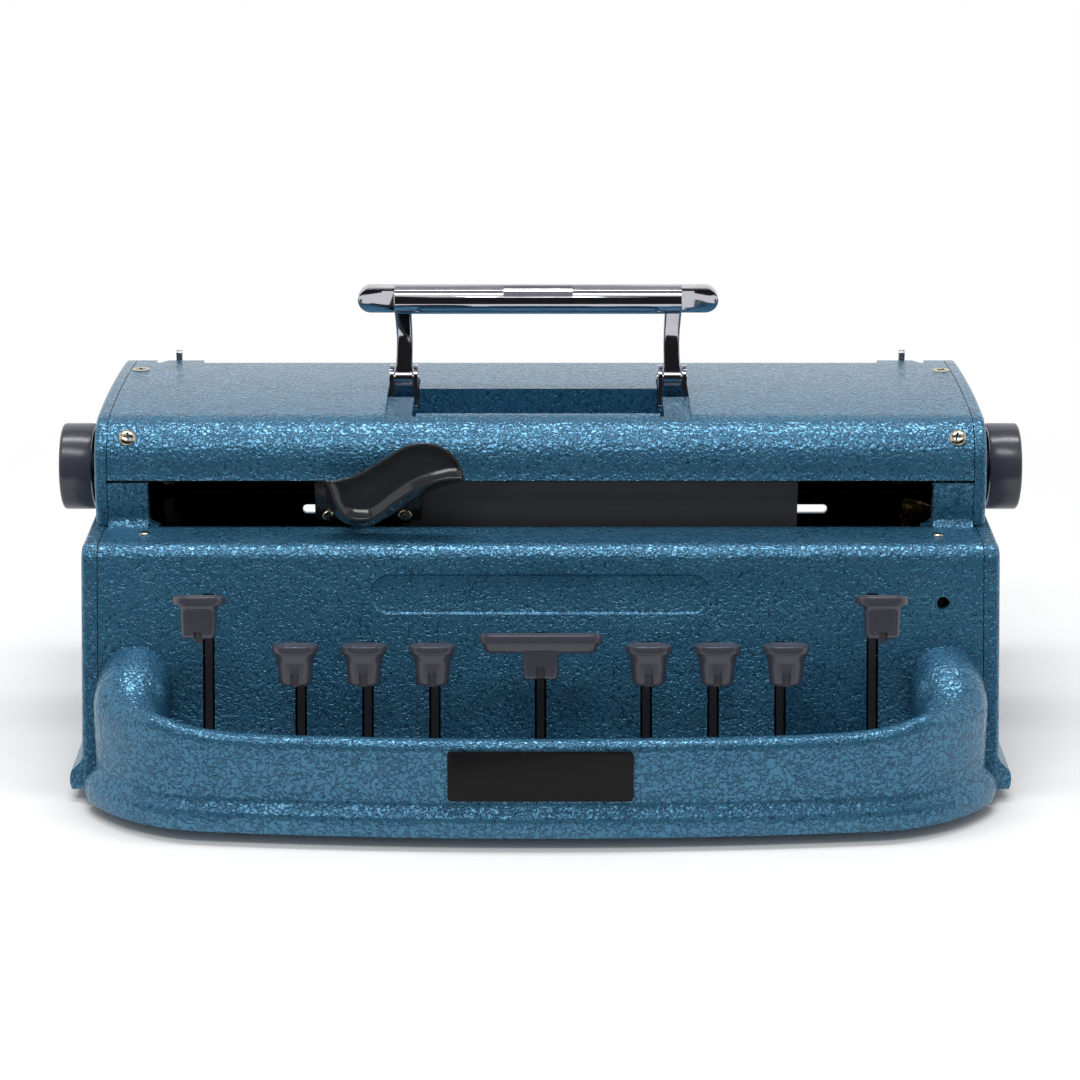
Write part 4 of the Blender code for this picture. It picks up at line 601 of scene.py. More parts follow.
def guard_wall():
    """The left half's rings from the panel to the middle, then their mirror images back."""
    way = guard_way()
    rings = []
    x, y = way[0][:2]
    for reach in (MM, -GAP / 2):
        shape = guard_section(HORN_THICK, HORN_TOP, 0.0)
        rings.append([(x + n, panel_y(z) + reach, z) for n, z in shape])
    ahead = [(x, y - back * MM, 0.0, back * MM) for back in (-12, -9, -6, -3)]
    for x, y, heading, gone in [row for row in ahead if row[1] < panel_y(HORN_TOP) - 3 * MM] + way:
        shape = guard_section(wall_thickness(x, heading), crest_height(gone), FLARE if gone >= 0 else 0.0)
        if gone < 0:
            rings.append([(x + n, min(y, panel_y(z) - GAP), z) for n, z in shape])
            continue
        rings.append([(x + n * math.cos(heading), y + n * math.sin(heading), z) for n, z in shape])
    mirrored = [[(-x, y, z) for x, y, z in ring] for ring in reversed(rings[:-1])]
    return loft("Guard wall", rings + mirrored)


def well_floor():
    outline = []
    for x, y, heading, _ in guard_way():
        inset = wall_thickness(x, heading) / 2
        outline.append((x + inset * math.cos(heading), y + inset * math.sin(heading)))
    left = [(outline[0][0], cove_curve()[-2][0] + MM)] + outline[:-1]
    right = [(-x, y) for x, y in reversed(left)]
    return slab("Well floor", "XY", [left + [outline[-1]] + right], FLOOR_Z - WALL + GAP, FLOOR_Z - GAP)


print("guard wall:", len(guard_way()), "sections to each side")

# %% [markdown]
# ## Front casting
# Shelf, panel, key well and guard are one casting. The bare recess on the panel is a stadium sunk
# 0.9 mm with soft walls, cut by a loft whose rings follow that soft wall. Nine slots let the key
# arms through.

# %% Front casting
RECESS_HALF, RECESS_HIGH, RECESS_Z, RECESS_DEEP = mm(66.7, 15.2, 80.0, 0.9)
SLOT_WIDE, SLOT_LOW = mm(4.6, 16.5)
DOT_X, END_X = mm(41.5, 67.8, 94.1), 130.3 * MM
DOT_CAP = dict(wide=17.8, deep=13.5, top=71.3, low=55.6, arm=56.0, lean=12)
END_CAP = dict(wide=20.4, deep=15.0, top=91.0, low=74.8, arm=74.0, lean=16)
SPACE_CAP = dict(wide=47.3, deep=14.0, top=75.5, low=58.5, arm=59.5, lean=16)
CHEEK_IN, CHEEK_DEEP, CHEEK_R, CORNER_R = mm(156.6, 6.0, 5.0, 4.3)
CORNER_DEEP, SLOT_ABOVE_ARM = mm(4.2, 6.2)
PANEL_HOLE, PANEL_HOLE_R = mm(158, 76.5), 2.5 * MM


def recess_cutter():
    rings = []
    for i in range(-1, 13):
        t = max(i, 0) / 12
        inset = 0.9 * MM * t - 0.35 * MM
        depth = RECESS_DEEP * ease(t) if i >= 0 else -2 * MM
        high = RECESS_HIGH / 2 - inset
        ring = rounded_box((-RECESS_HALF + inset, -high), (RECESS_HALF - inset, high), high * 0.999, 12)
        rings.append([(x, depth, z) for x, z in ring])
    cutter = loft("Recess cutter", rings)
    seat = Matrix.Translation((0, panel_y(RECESS_Z), RECESS_Z))
    cutter.data.transform(seat @ Matrix.Rotation(-PANEL_LEAN, 4, "X"))
    return cutter


def front_casting():
    outline = strip(shelf_curve(), WALL, 1, shelf_curve(1.0 * MM))
    body = slab("front_casting_cast", "YZ", [outline], -CASTING_HALF, CASTING_HALF)
    half = CASTING_HALF - HORN_THICK / 2
    cove = slab("Cove", "YZ", [strip(cove_curve(), WALL, 1)], -half, half)
    body = join(body, guard_wall(), cove, well_floor())
    for side in (-1, 1):
        fillet = arc((SILL_Y - CHEEK_R, SHELF_Z + CHEEK_R), CHEEK_R, -90, 0, 16)
        base = SHELF_Z - WALL / 2
        outline = [(SILL_Y + CHEEK_DEEP, base), (SILL_Y - CHEEK_R, base)] + fillet
        outline += [(SILL_Y, LIP_Z - 1.2 * MM), (SILL_Y + CHEEK_DEEP, LIP_Z - 1.2 * MM)]
        body = join(body, slab("Cheek", "YZ", [outline], *sorted((side * CHEEK_IN, side * HOOD_HALF))))
        x, z, r = side * (CHEEK_IN - CORNER_R), SHELF_Z + CORNER_R, CORNER_R
        turn = arc((x, z), r, 180, 270, 12) if side < 0 else arc((x, z), r, 0, -90, 12)
        far, under = side * (CHEEK_IN + MM), SHELF_Z - MM
        corner = turn + [(x, under), (far, under), (far, z)]
        body = join(body, slab("Corner", "XZ", [corner], SILL_Y, SILL_Y + CORNER_DEEP))
    deep = (panel_y(SLOT_LOW) - COVE_R, SILL_Y - CHEEK_DEEP)
    arms = [(x, DOT_CAP) for x in DOT_X] + [(END_X, END_CAP)]
    arms = [(-x, cap) for x, cap in arms] + [(0.0, SPACE_CAP)] + arms
    for x, cap in arms:
        low, high = (x - SLOT_WIDE / 2, deep[0], SLOT_LOW), (x + SLOT_WIDE / 2, deep[1])
        body = cut(body, block("Slot", low, (*high, cap["arm"] * MM + SLOT_ABOVE_ARM)))
    return cut(body, recess_cutter(), rod("Hole", "Y", PANEL_HOLE, PANEL_HOLE_R, deep, 32))


def behind_panel(centre, normal):
    inside = centre.y > panel_y(centre.z) + MM and centre.z < SHELF_Z - MM
    return inside and (normal.y > 0.2 or normal.z < -0.5 or abs(normal.x) > 0.9)


casting = enamelled(front_casting(), "front_casting", behind_panel)
print("front casting:", len(casting.data.polygons), "faces")

# %% [markdown]
# ## Side plates
# Each side is a casting with a broad rounded rim and a flared skirt. A side view outline made
# thick gives the plate, a Bevel on the rim rounds it, and the skirt is a second profile swept
# along the depth.

# %% Side plates
# The y, z and radius in mm of the bars that both plates hold, and the place of the feed roller.
SHAFT_SEATS = ((72, 29.5, 2.6), (50, 56, 3.4), (6, 105.5, 3.4), (6, 79, 3.4), (66, 121, 2.9), (101, 81, 3.4))
ROLLER = mm(36, 107.2)


def side_plate(side, name):
    lower = [(panel_y(BASE_LOW), BASE_LOW)]
    lower += shoulder_arc()[::-1]
    lower += [(REAR_Y, SHELF_Z), (REAR_Y, BASE_LOW)]
    bottom, back = SHELF_Z - 6 * MM, SILL_Y + CHEEK_DEEP + MM
    upper = [(back, bottom), (back, SHELF_Z + GAP), (SILL_Y, SHELF_Z + GAP)]
    upper += hood_curve() + rest_curve() + [(REAR_Y, bottom)]
    low_in, high_in = side * (CASTING_HALF + GAP), side * (HOOD_HALF + GAP)
    plate = rim(slab(name, "YZ", [lower], *sorted((low_in, side * PLATE_LOWER))), side, PLATE_LOWER, 2.5)
    top = rim(slab("Upper", "YZ", [upper], *sorted((high_in, side * PLATE_UPPER))), side, PLATE_UPPER, 3.5)
    shape = [(low_in, BASE_LOW)] + [(side * (PLATE_LOWER - n), z) for n, z in skirt_profile(FLARE)]
    shape += [(low_in, SKIRT_TOP)]
    skirt = slab("Skirt", "XZ", [shape], panel_y(SKIRT_TOP) + GAP, REAR_Y - GAP)
    plate = join(plate, top, skirt)
    for y, z, radius in SHAFT_SEATS:
        inner = (HOOD_HALF if z > 92 else CASTING_HALF) + GAP
        ends = sorted((side * (CASTING_HALF - 3 * MM), side * (inner + 2.3 * MM)))
        plate = cut(plate, rod("Bore", "X", (y * MM, z * MM), radius * MM, ends, 24))
    ends = sorted((side * (HOOD_HALF - 3 * MM), side * (PLATE_LOWER + 3 * MM)))
    return cut(plate, rod("Bore", "X", ROLLER, 3.4 * MM, ends, 32))


def rim(obj, side, out, width_mm):
    """Rounds the rim of the outer face of a side plate."""
    bm = bmesh.new()
    bm.from_mesh(obj.data)
    near = GAP / 3
    edges = [
        edge
        for edge in bm.edges
        if all(abs(vert.co.x - side * out) < near for vert in edge.verts)
        and any(abs(face.normal.x) < 0.5 for face in edge.link_faces)
    ]
    bmesh.ops.bevel(
        bm, geom=edges, offset=width_mm * MM, segments=7, affect="EDGES", profile=0.5, clamp_overlap=True
    )
    bm.to_mesh(obj.data)
    bm.free()
    return obj


for side, name in ((-1, "side_plate_left"), (1, "side_plate_right")):
    enamelled(side_plate(side, name + "_cast"), name, lambda centre, normal: normal.x * side < -0.5)
print("side plates", 2 * (PLATE_LOWER + FLARE) / MM, "mm apart at the foot")

# %% [markdown]
# ## Hood, rest and rear cover
# Pressed sheet. Pans under the hood hold the folded handle, two notches let the paper release
# levers through, and the gap behind takes the paper.

# %% Hood, reading rest and rear cover
POCKET_FLOOR, FINGER_FLOOR, CHANNEL_FLOOR = mm(131.0, 126.7, 137.8)
HANDLE_X, HANDLE_Y, ARM_X = mm(-1.0, 41.0, 55.2)
ARM_POCKET, ARM_POCKET_Y, PAN_WALL = 6.3 * MM, mm(32.5, 54), 1.5 * MM
FINGER_HALF, FINGER_Y = 50.8 * MM, mm(3.5, 37.5)
NOTCH_DEEP, NOTCH_R, NOTCH_OUT, NOTCH_IN = mm(6.0, 1.2, 164.0, 159.1)
WING_IN, CUT_ABOVE = mm(144.0, 3)
SLOT_LEFT, SLOT_RIGHT, SLOT_FOOT, SLOT_HEAD = mm(-104.5, 126, 63.3, 67.3)


def pressed(name, path, side):
    """A strip of sheet as wide as the hood, bent along its path."""
    return slab(name + "_pressed", "YZ", [strip(path, SHEET, side)], -HOOD_HALF, HOOD_HALF)


def top_hood():
    hood = pressed("top_hood", hood_curve(), -1)
    arms = [HANDLE_X + side * ARM_X for side in (-1, 1)]
    wells = [((x - ARM_POCKET, x + ARM_POCKET), ARM_POCKET_Y, POCKET_FLOOR) for x in arms]
    wells.append(((HANDLE_X - FINGER_HALF, HANDLE_X + FINGER_HALF), FINGER_Y, FINGER_FLOOR))
    wall, under, over = PAN_WALL, HOOD_TOP - SHEET / 2, HOOD_TOP + CUT_ABOVE
    for (x0, x1), (y0, y1), floor in wells:
        hood = join(hood, block("Pan", (x0 - wall, y0 - wall, floor - wall), (x1 + wall, y1 + wall, under)))
    for (x0, x1), (y0, y1), floor in wells:
        outline = rounded_box((x0, y0), (x1, y1), 0.8 * MM, 4)
        hood = cut(hood, slab("Well", "XY", [outline], floor, over))
    for (x0, x1), (y0, _), _ in wells[:2]:
        hood = cut(hood, block("Channel", (x0, SILL_Y, CHANNEL_FLOOR), (x1, y0 + 1.5 * MM, over)))
    low, rear = HOOD_REAR_Z - 6 * MM, HOOD_REAR_Y + WING + CUT_ABOVE
    hood = cut(hood, block("Paper slot", (-WING_IN, HOOD_REAR_Y, low), (WING_IN, rear, over)))
    front = HOOD_REAR_Y + WING - NOTCH_DEEP
    for side in (-1, 1):
        notch = [(NOTCH_OUT, rear)] + arc((NOTCH_OUT - NOTCH_R, front + NOTCH_R), NOTCH_R, 0, -120, 10)
        notch += [(NOTCH_IN, HOOD_REAR_Y + WING), (NOTCH_IN, rear)]
        hood = cut(hood, slab("Notch", "XY", [[(side * x, y) for x, y in notch]], low, over))
    return hood


def rear_cover():
    slot = rounded_box((SLOT_LEFT, SLOT_FOOT), (SLOT_RIGHT, SLOT_HEAD), 1.8 * MM, 8)
    opening = slab("Opening", "XZ", [slot], REAR_Y - SHEET - CUT_ABOVE, REAR_Y + CUT_ABOVE)
    return cut(pressed("rear_cover", rear_curve(), 1), opening)


def under_hood(centre, normal):
    return normal.z < -0.2 or (normal.y > 0.2 and centre.y < 0)


enamelled(top_hood(), "top_hood", under_hood)
enamelled(rear_cover(), "rear_cover", lambda centre, normal: normal.y < -0.5)
rest = pressed("reading_rest", rest_curve(), -1)
enamelled(rest, "reading_rest", lambda centre, normal: normal.z < -0.2 or normal.y < -0.5)
print("hood, rear cover and rest in", SHEET / MM, "mm sheet")

# %% [markdown]
# ## Keys
# Six dot keys, a space bar and two end keys, moulded in dark grey ABS. A cap is a dished top with
# an upright rim on a tapered body, and a slit that grips the steel arm. Each is a loft over rounded
# rectangles, one above the other, with its own inset at each height. A lathed form pressed to an
# oval can't give the straight sides that the long caps have.

# %% Key caps
CAP_Y, SLIT_WIDE, SLIT_ABOVE_ARM, SLIT_PAST = mm(-82.0, 3.1, 5.3, 4)
DOT_CORNER, END_CORNER, SPACE_CORNER, SMALLEST_CORNER = mm(6.7, 7.4, 5.2, 0.4)
RIM_MM = 3.2
END_BODY, SPACE_FOOT = mm(15.4, 12.6, 3.4), mm(13.2, 9.8, 1.6)
PAD_HALF, PAD_R, PAD_FRONT, PAD_BACK = mm(4.5, 1.7, -5.75, -3)


def stack(name, wide, deep, corner, steps):
    """Rounded rectangles above each other, each inset by its own amount: (inset, height) in mm."""
    rings = []
    for inset, z in steps:
        half, reach = wide / 2 - inset * MM, deep / 2 - inset * MM
        r = min(max(corner - inset * MM, SMALLEST_CORNER), min(half, reach) * 0.999)
        rings.append([(x, y, z * MM) for x, y in rounded_box((-half, -reach), (half, reach), r, 14)])
    return loft(name, rings)


def rim_steps(top):
    """The dished top, its rounded edge and the rim's upright band."""
    dish = [(5.2, top - 1.1), (4.0, top - 1.05), (2.6, top - 0.85), (1.6, top - 0.5), (1.0, top - 0.15)]
    edge = [(0.7, top), (0.4, top - 0.02), (0.15, top - 0.2), (0.0, top - 0.55), (0.0, top - 2.7)]
    return dish + edge + [(0.1, top - 3.05), (0.4, top - RIM_MM), (1.2, top - RIM_MM)]


def lean_back(cap, x, size):
    """Turns the cap's top to the rear on its arm, then cuts the slit that grips the arm."""
    middle = Vector((0, 0, (size["top"] + size["low"]) / 2 * MM))
    turn = Matrix.Rotation(-math.radians(size["lean"]), 4, "X")
    cap.data.transform(Matrix.Translation(middle) @ turn @ Matrix.Translation(-middle))
    high, half = size["arm"] * MM + SLIT_ABOVE_ARM, SLIT_WIDE / 2
    low, reach = size["low"] * MM - SLIT_PAST, size["deep"] / 2 * MM + SLIT_PAST
    cap = cut(cap, block("Slit", (-half, -reach, low), (half, reach, high)))
    cap.data.transform(Matrix.Translation((x, CAP_Y, 0)))
    return cap


def key_cap(name, x, size):
    """A dished top on its body: an oval taper for the dots, a squared body with a pad at the ends."""
    wide, deep = size["wide"] * MM, size["deep"] * MM
    top, low, under = size["top"], size["low"], size["top"] - RIM_MM
    if size is DOT_CAP:
        steps = rim_steps(top) + [(0.9, under - 0.1), (1.0, under - 0.5), (1.25, under - 1.2)]
        steps += [(1.6, under - 2.2), (1.85, under - 2.9), (2.0, under - 3.6), (2.6, low + 1.6)]
        steps += [(2.8, low + 0.8), (3.3, low + 0.25), (4.2, low)]
        cap = stack(name, wide, deep, DOT_CORNER, steps)
    else:
        cap = stack(name, wide, deep, END_CORNER, rim_steps(top) + [(3.0, top - 3.3)])
        steps = [(0.0, top - 2), (0.0, under - 0.3), (0.5, under - 0.9), (0.9, under - 1.6), (1.0, under - 3)]
        steps += [(1.3, low + 1.8), (1.5, low + 1.0), (2.1, low + 0.3), (3.0, low)]
        shape = rounded_box((-PAD_HALF, (low + 1.9) * MM), (PAD_HALF, (under - 1.6) * MM), PAD_R, 8)
        pad = soften(slab("Pad", "XZ", [shape], PAD_FRONT, PAD_BACK), 0.45, 4)
        cap = join(cap, stack("Body", *END_BODY, steps), pad)
    return lean_back(cap, x, size)


def space_cap():
    """A long rim, a lobe that slopes in under it, and a block for the arm."""
    size = SPACE_CAP
    top, low, under = size["top"], size["low"], size["top"] - RIM_MM
    steps = rim_steps(top) + [(1.3, under - 0.2), (1.5, under - 1.0), (2.1, under - 2.6), (2.6, under - 3.4)]
    steps += [(3.4, under - 3.9), (4.6, under - 4.0)]
    bar = stack("cap_space_moulded", size["wide"] * MM, size["deep"] * MM, SPACE_CORNER, steps)
    steps = [(0.0, under - 3), (0.0, low + 1.0), (0.3, low + 0.3), (1.0, low)]
    return lean_back(join(bar, stack("Foot", *SPACE_FOOT, steps)), 0.0, size)


KEYS = {"line_space": (-END_X, END_CAP), "back_space": (END_X, END_CAP)}
for number, x in enumerate(DOT_X, 1):
    KEYS[f"dot_{number}"] = (-x, DOT_CAP)
    KEYS[f"dot_{number + 3}"] = (x, DOT_CAP)
for key, (x, size) in KEYS.items():
    cap = key_cap(f"cap_{key}_moulded", x, size)
    place(cap, FINISHES["grey_abs"], "key_" + key, "grey_moulded_plastic", ["cap_" + key])
place(space_cap(), FINISHES["grey_abs"], "key_space", "grey_moulded_plastic", ["cap_space"])
print(len(KEYS) + 1, "key caps")

# %% [markdown]
# ## Knobs
# The paper feed's two knobs are deep moulded cups with a rounded rim round a flat face. A lathed
# profile is the whole shape.

# %% Feed knobs
KNOB_R, KNOB_OUT, KNOB_IN, KNOB_WALL, KNOB_EDGE = mm(17.8, 197.1, 184.0, 3.0, 1.4)
HUB_R, HUB_BORE_R, HUB_PAST = mm(6.5, 3.3, 1.5)


def knob(name, side):
    r, out, inn, wall, edge = KNOB_R, KNOB_OUT, KNOB_IN, KNOB_WALL, KNOB_EDGE
    face, floor, hub, lip = out - 0.3 * MM, out - wall, inn - HUB_PAST, inn + 0.5 * MM
    profile = [(0, face), (r - 3.2 * MM, face), (r - 2.6 * MM, out)]
    profile += [(p[1], p[0]) for p in arc((out - edge, r - edge), edge, 0, 90, 8)]
    profile += [(r, lip), (r - 0.4 * MM, inn), (r - wall + 0.6 * MM, inn), (r - wall, lip)]
    profile += [(r - wall, floor), (HUB_R, floor), (HUB_R, hub)]
    profile += [(HUB_BORE_R, hub), (HUB_BORE_R, floor), (0, floor)]
    return turned(name, "X", ROLLER, [(radius, side * along) for radius, along in profile], 96)


for side, name in ((-1, "knob_left"), (1, "knob_right")):
    place(knob(name + "_moulded", side), FINISHES["grey_abs"], "feed", "grey_moulded_plastic", [name])
print("knobs", 2 * KNOB_R / MM, "mm across")

# %% [markdown]
# ## Carriage lever
# A dark paddle pushes the carriage along. It is a moulded dish with a raised rim, deep on the
# lower side where the thumb presses. The front outline and the lower, smaller back outline give
# the sloping wall; the dish is a triangulated sheet whose depth grows with distance from the rim.

# %% Carriage lever
# All in mm: the outline of the rim in front and of the foot behind, point by point, as x and z.
LEVER_FRONT, LEVER_BACK = -32.0, -25.0
LEVER_RIM = (
    (-85.2, 122.2), (-82.6, 121.7), (-79.4, 122.2), (-77.1, 122.8), (-74.4, 123.5), (-71.8, 124.5),
    (-68.3, 126.5), (-64.2, 129.1), (-60.2, 131.7), (-56.2, 134.3), (-52.7, 136.1), (-49.2, 137.0),
    (-46.7, 137.3), (-43.2, 137.2), (-40.2, 136.4), (-37.2, 134.9), (-34.7, 133.1), (-32.7, 130.6),
    (-31.5, 128.0), (-30.5, 125.1), (-29.9, 123.3), (-29.6, 122.0), (-32.4, 122.3), (-36.3, 122.2),
    (-40.1, 121.4), (-44.1, 120.0), (-47.6, 118.6), (-50.7, 117.0), (-54.2, 114.7), (-58.3, 111.8),
    (-61.8, 108.9), (-64.6, 106.9), (-67.4, 105.6), (-70.7, 105.3), (-73.4, 105.5), (-75.9, 106.2),
    (-78.2, 107.8), (-79.9, 110.2), (-81.3, 113.1), (-82.1, 115.7), (-82.9, 118.3), (-84.0, 120.7),
)
LEVER_FOOT = (
    (-85.5, 119.6), (-83.1, 119.4), (-79.8, 119.8), (-77.6, 120.4), (-74.8, 121.1), (-72.3, 122.1),
    (-68.7, 124.1), (-64.6, 126.7), (-60.6, 129.4), (-56.5, 132.0), (-53.0, 134.0), (-49.4, 134.7),
    (-46.9, 135.1), (-43.4, 135.0), (-40.4, 134.1), (-37.4, 132.6), (-34.9, 130.8), (-32.9, 128.3),
    (-31.7, 125.7), (-30.7, 122.8), (-30.1, 120.9), (-29.9, 119.7), (-33.0, 118.9), (-37.1, 117.7),
    (-40.6, 116.4), (-44.7, 114.6), (-48.2, 112.4), (-51.3, 110.6), (-54.8, 108.2), (-58.9, 105.5),
    (-62.5, 103.4), (-65.6, 101.6), (-68.1, 100.7), (-71.1, 100.3), (-74.2, 100.7), (-77.2, 101.8),
    (-79.7, 103.4), (-81.7, 105.5), (-83.1, 107.9), (-84.3, 111.1), (-85.2, 114.3), (-85.5, 117.5),
)
BEAD_TOP = ((0.0, 0.35), (0.25, 0.06), (0.5, 0.0), (0.75, 0.06))
DISH = BEAD_TOP + (
    (1.0, 0.3), (2.0, 1.35), (3.0, 2.3), (4.2, 3.15), (5.4, 3.7), (6.8, 4.0), (8.5, 4.1), (60.0, 4.1)
)
DISH_UPPER = BEAD_TOP + ((1.0, 0.6), (1.25, 2.9), (1.6, 3.9), (60.0, 4.1))
UPPER_POINTS = 22
INSETS, NEAR_INSET, GRID_CLEAR = (0.25, 0.5, 0.75, 1.0, 1.25, 1.6), 0.06, 1.9
GRID_STEP, GRID_START, GRID_COUNT = (0.85, 0.8), (-86, 104), (70, 44)
WALL_SHARES, FOOT_EDGE_SHARE, LEVER_MIDDLE = (0.12, 0.4, 0.7, 0.93, 1.0), 0.35 / 20, (-57, 118)
STUD, STUD_BORE_R = mm(-74.5, 107), 2.7 * MM


def finer(points, times=3):
    """A closed line through the points, rounded between them."""
    found = []
    n = len(points)
    for i in range(n):
        a, b, c, d = (points[(i + k) % n] for k in (-1, 0, 1, 2))
        for j in range(times):
            t = j / times
            found.append(tuple(
                0.5 * (2 * b[k] + (c[k] - a[k]) * t + (2 * a[k] - 5 * b[k] + 4 * c[k] - d[k]) * t * t
                       + (3 * b[k] - a[k] - 3 * c[k] + d[k]) * t ** 3)
                for k in (0, 1)))
    return found


def edge_distance(point, line, closed=True):
    """The shortest way from a point to a line of points."""
    best = math.inf
    for a, b in zip(line, line[1:] + line[:1] * closed):
        along = (b[0] - a[0], b[1] - a[1])
        square = max(along[0] ** 2 + along[1] ** 2, 1e-12)
        share = ((point[0] - a[0]) * along[0] + (point[1] - a[1]) * along[1]) / square
        share = min(max(share, 0), 1)
        best = min(best, math.hypot(*(point[k] - a[k] - share * along[k] for k in (0, 1))))
    return best


def dish_depth(spot, rim_line):
    """Steep under the upper rim, a long easy slope up to the lower one."""
    split = len(rim_line) * UPPER_POINTS // len(LEVER_RIM)
    upper = read_off(DISH_UPPER, edge_distance(spot, rim_line[:split], closed=False))
    lower = read_off(DISH, edge_distance(spot, rim_line[split - 1 :] + rim_line[:1], closed=False))
    return min(upper, lower)


def dish_seeds(rim_line):
    """Points inside the rim: rows that follow it closely, and a staggered grid in the middle."""
    seeds = []
    n = len(rim_line)
    for inset in INSETS:
        for i in range(n):
            a, b = rim_line[i - 1], rim_line[(i + 1) % n]
            long = math.hypot(b[0] - a[0], b[1] - a[1])
            inward = ((b[1] - a[1]) / long, (a[0] - b[0]) / long)
            spot = tuple(p + way * inset for p, way in zip(rim_line[i], inward))
            if abs(edge_distance(spot, rim_line) - inset) < NEAR_INSET:
                seeds.append(spot)
    for i in range(GRID_COUNT[0]):
        for j in range(GRID_COUNT[1]):
            spot = (GRID_START[0] + GRID_STEP[0] * i + 0.4 * (j % 2), GRID_START[1] + GRID_STEP[1] * j)
            if edge_distance(spot, rim_line) > GRID_CLEAR:
                seeds.append(spot)
    return seeds


def carriage_lever():
    rim_line, foot_line = finer(LEVER_RIM), finer(LEVER_FOOT)
    n = len(rim_line)
    flat = [Vector(p) for p in rim_line + dish_seeds(rim_line)]
    spots, _, faces, old, _, _ = delaunay_2d_cdt(flat, [], [list(range(n))], 1, 1e-5)
    bm = bmesh.new()
    verts = []
    rim_y = LEVER_FRONT + DISH[0][1]
    for spot, origin in zip(spots, old):
        on_rim = any(k < n for k in origin)
        y = rim_y if on_rim else LEVER_FRONT + dish_depth(spot, rim_line)
        verts.append(bm.verts.new(mm(spot[0], y, spot[1])))
    for face in faces:
        bm.faces.new([verts[k] for k in face])
    start = {k: verts[i] for i, origin in enumerate(old) for k in origin if k < n}
    before = [start[i] for i in range(n)]
    for share in WALL_SHARES:
        inward = FOOT_EDGE_SHARE if share == 1.0 else 0.0
        ring = []
        for a, b in zip(rim_line, foot_line):
            spot = [p + (q - p) * share for p, q in zip(a, b)]
            x, z = (p + (middle - p) * inward for p, middle in zip(spot, LEVER_MIDDLE))
            ring.append(bm.verts.new(mm(x, rim_y + (LEVER_BACK - rim_y) * share, z)))
        for i in range(n):
            j = (i + 1) % n
            bm.faces.new((before[i], before[j], ring[j], ring[i]))
        before = ring
    bm.faces.new(before)
    bmesh.ops.recalc_face_normals(bm, faces=bm.faces)
    lever = to_object("carriage_lever_moulded", bm)
    return cut(lever, rod("Stud bore", "Y", STUD, STUD_BORE_R, mm(LEVER_FRONT + 4.3, LEVER_BACK + 1), 32))


lever = carriage_lever()
place(lever, FINISHES["black_phenolic"], "carriage_lever", "dark_moulded_plastic", ["carriage_lever"])
print("carriage lever:", len(lever.data.polygons), "faces")

# %% [markdown]
# ## Carrying handle
# One chromed casting: a flat bar with round ends, a round grip along its middle with a small flat
# milled on top, and two arms with a slight S. The grip is fused over the bar, so that the ends keep
# their flat faces.

# %% Carrying handle
GRIP_Z, GRIP_R, LOBE_R, BAR_HALF = mm(176.9, 6.05, 5.4, 73.6)
ARM_WIDE, ARM_DEEP, ARM_BEND, ARM_SWAY = mm(7.2, 5.8, 1.8, 0.5)
PIVOT_Z, ARM_FOOT_R, PIN_BORE_R = mm(144.0, 3.5, 1.75)
FLAT_HALF, FLAT_DROP, FLAT_TURN = 14.2 * MM, 5.3 * MM, math.radians(90 - 51)
# Inset and distance behind the middle, in mm, of the bar's rings. Its front faces lean a little.
BAR_RINGS = ((0.9, 4.6), (0.25, 4.35), (0, 3.7), (0, -2.2), (0.3, -2.7), (1.0, -2.95))
BAR_TILT = 0.2


def handle_arm(side):
    """An arm that bends back and to the middle on its way up, and the x of its foot."""
    middle = HANDLE_X + side * ARM_X
    rings = []
    for i in range(25):
        t = i / 24
        z = PIVOT_Z + (GRIP_Z - 2 * MM - PIVOT_Z) * t
        bend = ARM_BEND * math.sin(math.pi * min(t / 0.93, 1))
        sway = side * ARM_SWAY * math.sin(math.pi * t) ** 2
        wide, deep = ARM_WIDE / 2 * (1 - 0.09 * math.sin(math.pi * t)), ARM_DEEP / 2
        corner = rounded_box((-wide, -deep), (wide, deep), 1.0 * MM, 5)
        rings.append([(middle - sway + x, HANDLE_Y + bend + y, z) for x, y in corner])
    return loft("Arm", rings), middle


def handle():
    left, right = HANDLE_X - BAR_HALF + LOBE_R, HANDLE_X + BAR_HALF - LOBE_R
    rings = []
    for inset, y in BAR_RINGS:
        r = LOBE_R - inset * MM
        shape = arc((left, GRIP_Z), r, 90, 270, 24) + arc((right, GRIP_Z), r, -90, 90, 24)
        tilt = BAR_TILT if y < 0 else 0.0
        rings.append([(x, HANDLE_Y + y * MM - (z - GRIP_Z) * tilt, z) for x, z in shape])
    half = ARM_X + ARM_WIDE / 2 - 0.1 * MM
    ends = [(0, -half), (GRIP_R - 0.3 * MM, -half), (GRIP_R, 0.3 * MM - half)]
    profile = ends + [(radius, -along) for radius, along in reversed(ends)]
    profile = [(radius, HANDLE_X + along) for radius, along in profile]
    bar = join(loft("handle_chromed", rings), turned("Grip", "X", (HANDLE_Y, GRIP_Z), profile, 72))
    flat = block("Flat", (-FLAT_HALF, -4 * MM, FLAT_DROP), (FLAT_HALF, 4 * MM, 9 * MM))
    flat = soften(flat, 0.3, 2)
    turn = Matrix.Rotation(FLAT_TURN, 4, "X")
    flat.data.transform(Matrix.Translation((HANDLE_X, HANDLE_Y, GRIP_Z)) @ turn)
    bar = cut(bar, flat)
    pivot = (HANDLE_Y, PIVOT_Z)
    for side in (-1, 1):
        arm, middle = handle_arm(side)
        foot = (middle - 3.4 * MM, middle + 3.4 * MM)
        bore = (middle - 6 * MM, middle + 6 * MM)
        bar = join(bar, arm, rod("Arm foot", "X", pivot, ARM_FOOT_R, foot, 40))
        bar = cut(bar, rod("Pin bore", "X", pivot, PIN_BORE_R, bore, 24))
    return bar


